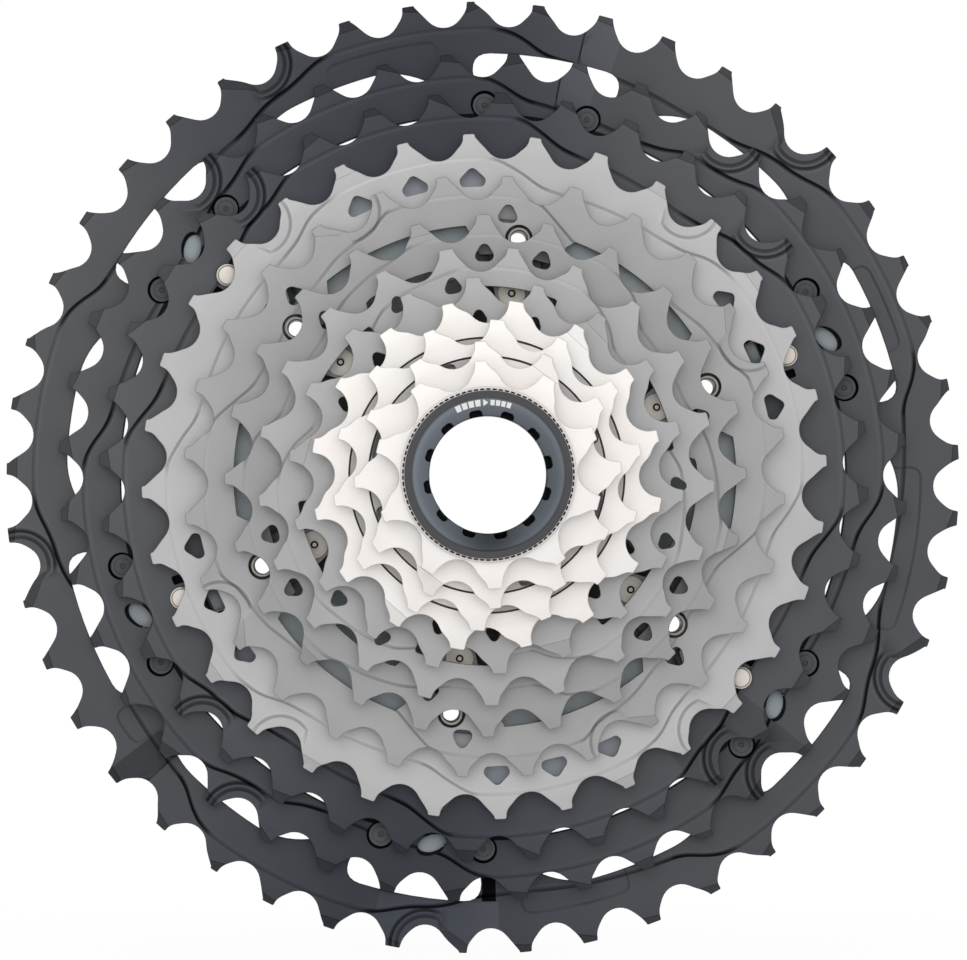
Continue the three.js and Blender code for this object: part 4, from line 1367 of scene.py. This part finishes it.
# ------------------------------------------------------------------ rivets
# Finish, slot and profile of each kind of rivet, by the start of its node's name. A profile holds pairs of a
# radius and a depth below the rivet's top, where None stands for its back.
RIVET_KINDS = {
    "carrier_rivet": (rivet_lit, "bright_rivet", [
        (0, None), (1.5, None), (1.5, 0.5), (2.45, 0.5), (2.6, 0.4), (2.6, 0.22), (2.45, 0.1), (1.95, 0.04),
        (1.88, 0.12), (1.8, 0.04), (1.2, 0), (1.12, 0.1), (1.0, 0), (0.76, 0), (0.74, 0.6), (0.42, 0.6),
        (0.4, 0.02), (0, 0)]),
    "tube_rivet": (rivet_shaded, "bright_rivet", [
        (1.55, None), (2.4, None), (2.4, 0.9), (2.15, 0.8), (2.15, 0.12), (2.05, 0), (1.75, 0), (1.55, 0.3)]),
    "rivet_36t": (rivet_pale, "bright_rivet", [
        (0, None), (1.5, None), (1.5, 0.5), (2.05, 0.5), (2.15, 0.38), (2.1, 0.2), (1.9, 0.1), (1.8, 0.24),
        (1.65, 0.06), (1.2, 0), (0, 0)]),
    "rivet_40t": (rivet_black, "black_rivet", [
        (0, None), (2.3, None), (2.3, 0.12), (2.22, 0), (1.62, 0), (1.55, 0.06), (1.48, 0), (0.55, 0),
        (0.48, 0.16), (0.3, 0.16), (0.2, 0.08), (0, 0.08)]),
    "rivet": (rivet_steel, "bright_rivet", [
        (0, None), (1.2, None), (1.2, 0.1), (1.1, 0), (0.5, 0), (0.4, 0.1), (0, 0.1)]),
}


def build_rivets():
    for node in BODY_OF:
        kind = next((prefix for prefix in RIVET_KINDS if node.startswith(prefix)), None)
        if kind is None:
            continue
        finish, slot, profile = RIVET_KINDS[kind]
        low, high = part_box(node)
        top, back = -low.y / MM, -high.y / MM
        place = ((low.x + high.x) / 2 / MM, (low.z + high.z) / 2 / MM)
        # The rivets at two opposite arms are painted black as shade, with the black rivets' finish.
        arm_angle = math.degrees(math.atan2(place[1], place[0]))
        if kind == "rivet_36t" and abs(arm_angle % 180 - ARM_ANGLES[1]) < 5:
            finish = rivet_black
        # The centre groove of the carrier rivets is painted nearly black as shade.
        dark = (0.41, 0.75) if kind == "carrier_rivet" else (0, 0)
        profile = [(radius, back if depth is None else top - depth) for radius, depth in profile]
        piece = lathe(node + "_turned", profile, finish, place, 40, kind == "tube_rivet", dark)
        stand_for(piece, node)


for build in (build_45, build_40, build_36, build_32, build_28, build_24, build_21, build_18, build_16,
              build_14, build_12, build_10, build_spider, build_carrier, build_spacers, build_lock_ring,
              build_washer, build_rivets):
    build()


# ------------------------------------------------------------------ stage
def floor_material():
    """Pale floor that melts into the white surroundings away from the object."""
    material = bpy.data.materials.new("pale_floor")
    n = Nodes(material)
    matt = n.add("BsdfDiffuse", {"Color": (*grey(0.93), 1)})
    white = n.add("Emission", {"Strength": 1.0, "Color": (1, 1, 1, 1)})
    fade = n.ramp(n.vector_math("LENGTH", "Value", n.place()), [(0.04, grey(0.965)), (0.2, grey(1))])
    seen = n.spread((n.add("LightPath"), "Is Camera Ray"), 0.6, 1.0)
    mixed = n.add("MixShader", {0: n.math("MULTIPLY", fade, seen), 1: (matt, "BSDF"), 2: (white, "Emission")})
    n.add("OutputMaterial", {"Surface": (mixed, "Shader")})
    return material


def stage_floor(height, half=6.0):
    mesh = bpy.data.meshes.new("floor")
    corners = [(-half, -half, 0), (half, -half, 0), (half, half, 0), (-half, half, 0)]
    mesh.from_pydata(corners, [], [(0, 1, 2, 3)])
    mesh.materials.append(floor_material())
    floor = bpy.data.objects.new("floor", mesh)
    floor.location = (0, 0, height)
    bpy.context.scene.collection.objects.link(floor)


def stage_world(glow, power):
    """White surroundings for the camera, while the object is lit mostly from its front and above."""
    world = bpy.data.worlds.new("studio")
    n = Nodes(world)
    parts = n.add("SeparateXYZ", {"Vector": (n.add("TexCoord"), "Generated")})
    tones = n.ramp(n.spread((parts, "Y"), 0, 1, -1, 1), [(position, grey(level)) for position, level in glow])
    height = n.spread((parts, "Z"), 0.85, 1.15, -1, 1, clamp=False)
    light = n.add("Background", {"Color": tones, "Strength": n.math("MULTIPLY", height, power)})
    white = n.add("Background", {"Color": (1, 1, 1, 1)})
    seen = (n.add("LightPath"), "Is Camera Ray")
    mixed = n.add("MixShader", {0: seen, 1: (light, "Background"), 2: (white, "Background")})
    n.add("OutputWorld", {"Surface": (mixed, "Shader")})
    bpy.context.scene.world = world


def aim(thing, place, target):
    thing.location = place
    thing.rotation_euler = (Vector(target) - Vector(place)).to_track_quat("-Z", "Y").to_euler()
    bpy.context.scene.collection.objects.link(thing)


def stage_light(name, place, target, size, power):
    data = bpy.data.lights.new(name, "AREA")
    data.size = size
    data.energy = power
    aim(bpy.data.objects.new(name, data), place, target)


def stage_camera(place, target, shift, lens):
    data = bpy.data.cameras.new("camera")
    data.sensor_width = 36
    data.lens = lens
    data.clip_start, data.clip_end = 0.05, 50
    data.shift_x, data.shift_y = shift
    camera = bpy.data.objects.new("camera", data)
    aim(camera, place, target)
    bpy.context.scene.camera = camera


stage_floor(CAD_BOX[0].z - 0.001)
stage_world([(0.0, 1.0), (0.12, 0.8), (0.3, 0.3), (0.5, 0.14), (1.0, 0.14)], 1.6)
stage_light("key", (-0.5, -1.1, 0.9), (0, 0, 0), 0.7, 1.8)
aim_plane = -S45.front * MM
stage_camera((-0.0249, aim_plane - 1.079, -0.0122), (0.00023, aim_plane, -0.00069), (-0.0012, 0.0006), 208.2)
bpy.context.scene.view_settings.view_transform = "Standard"
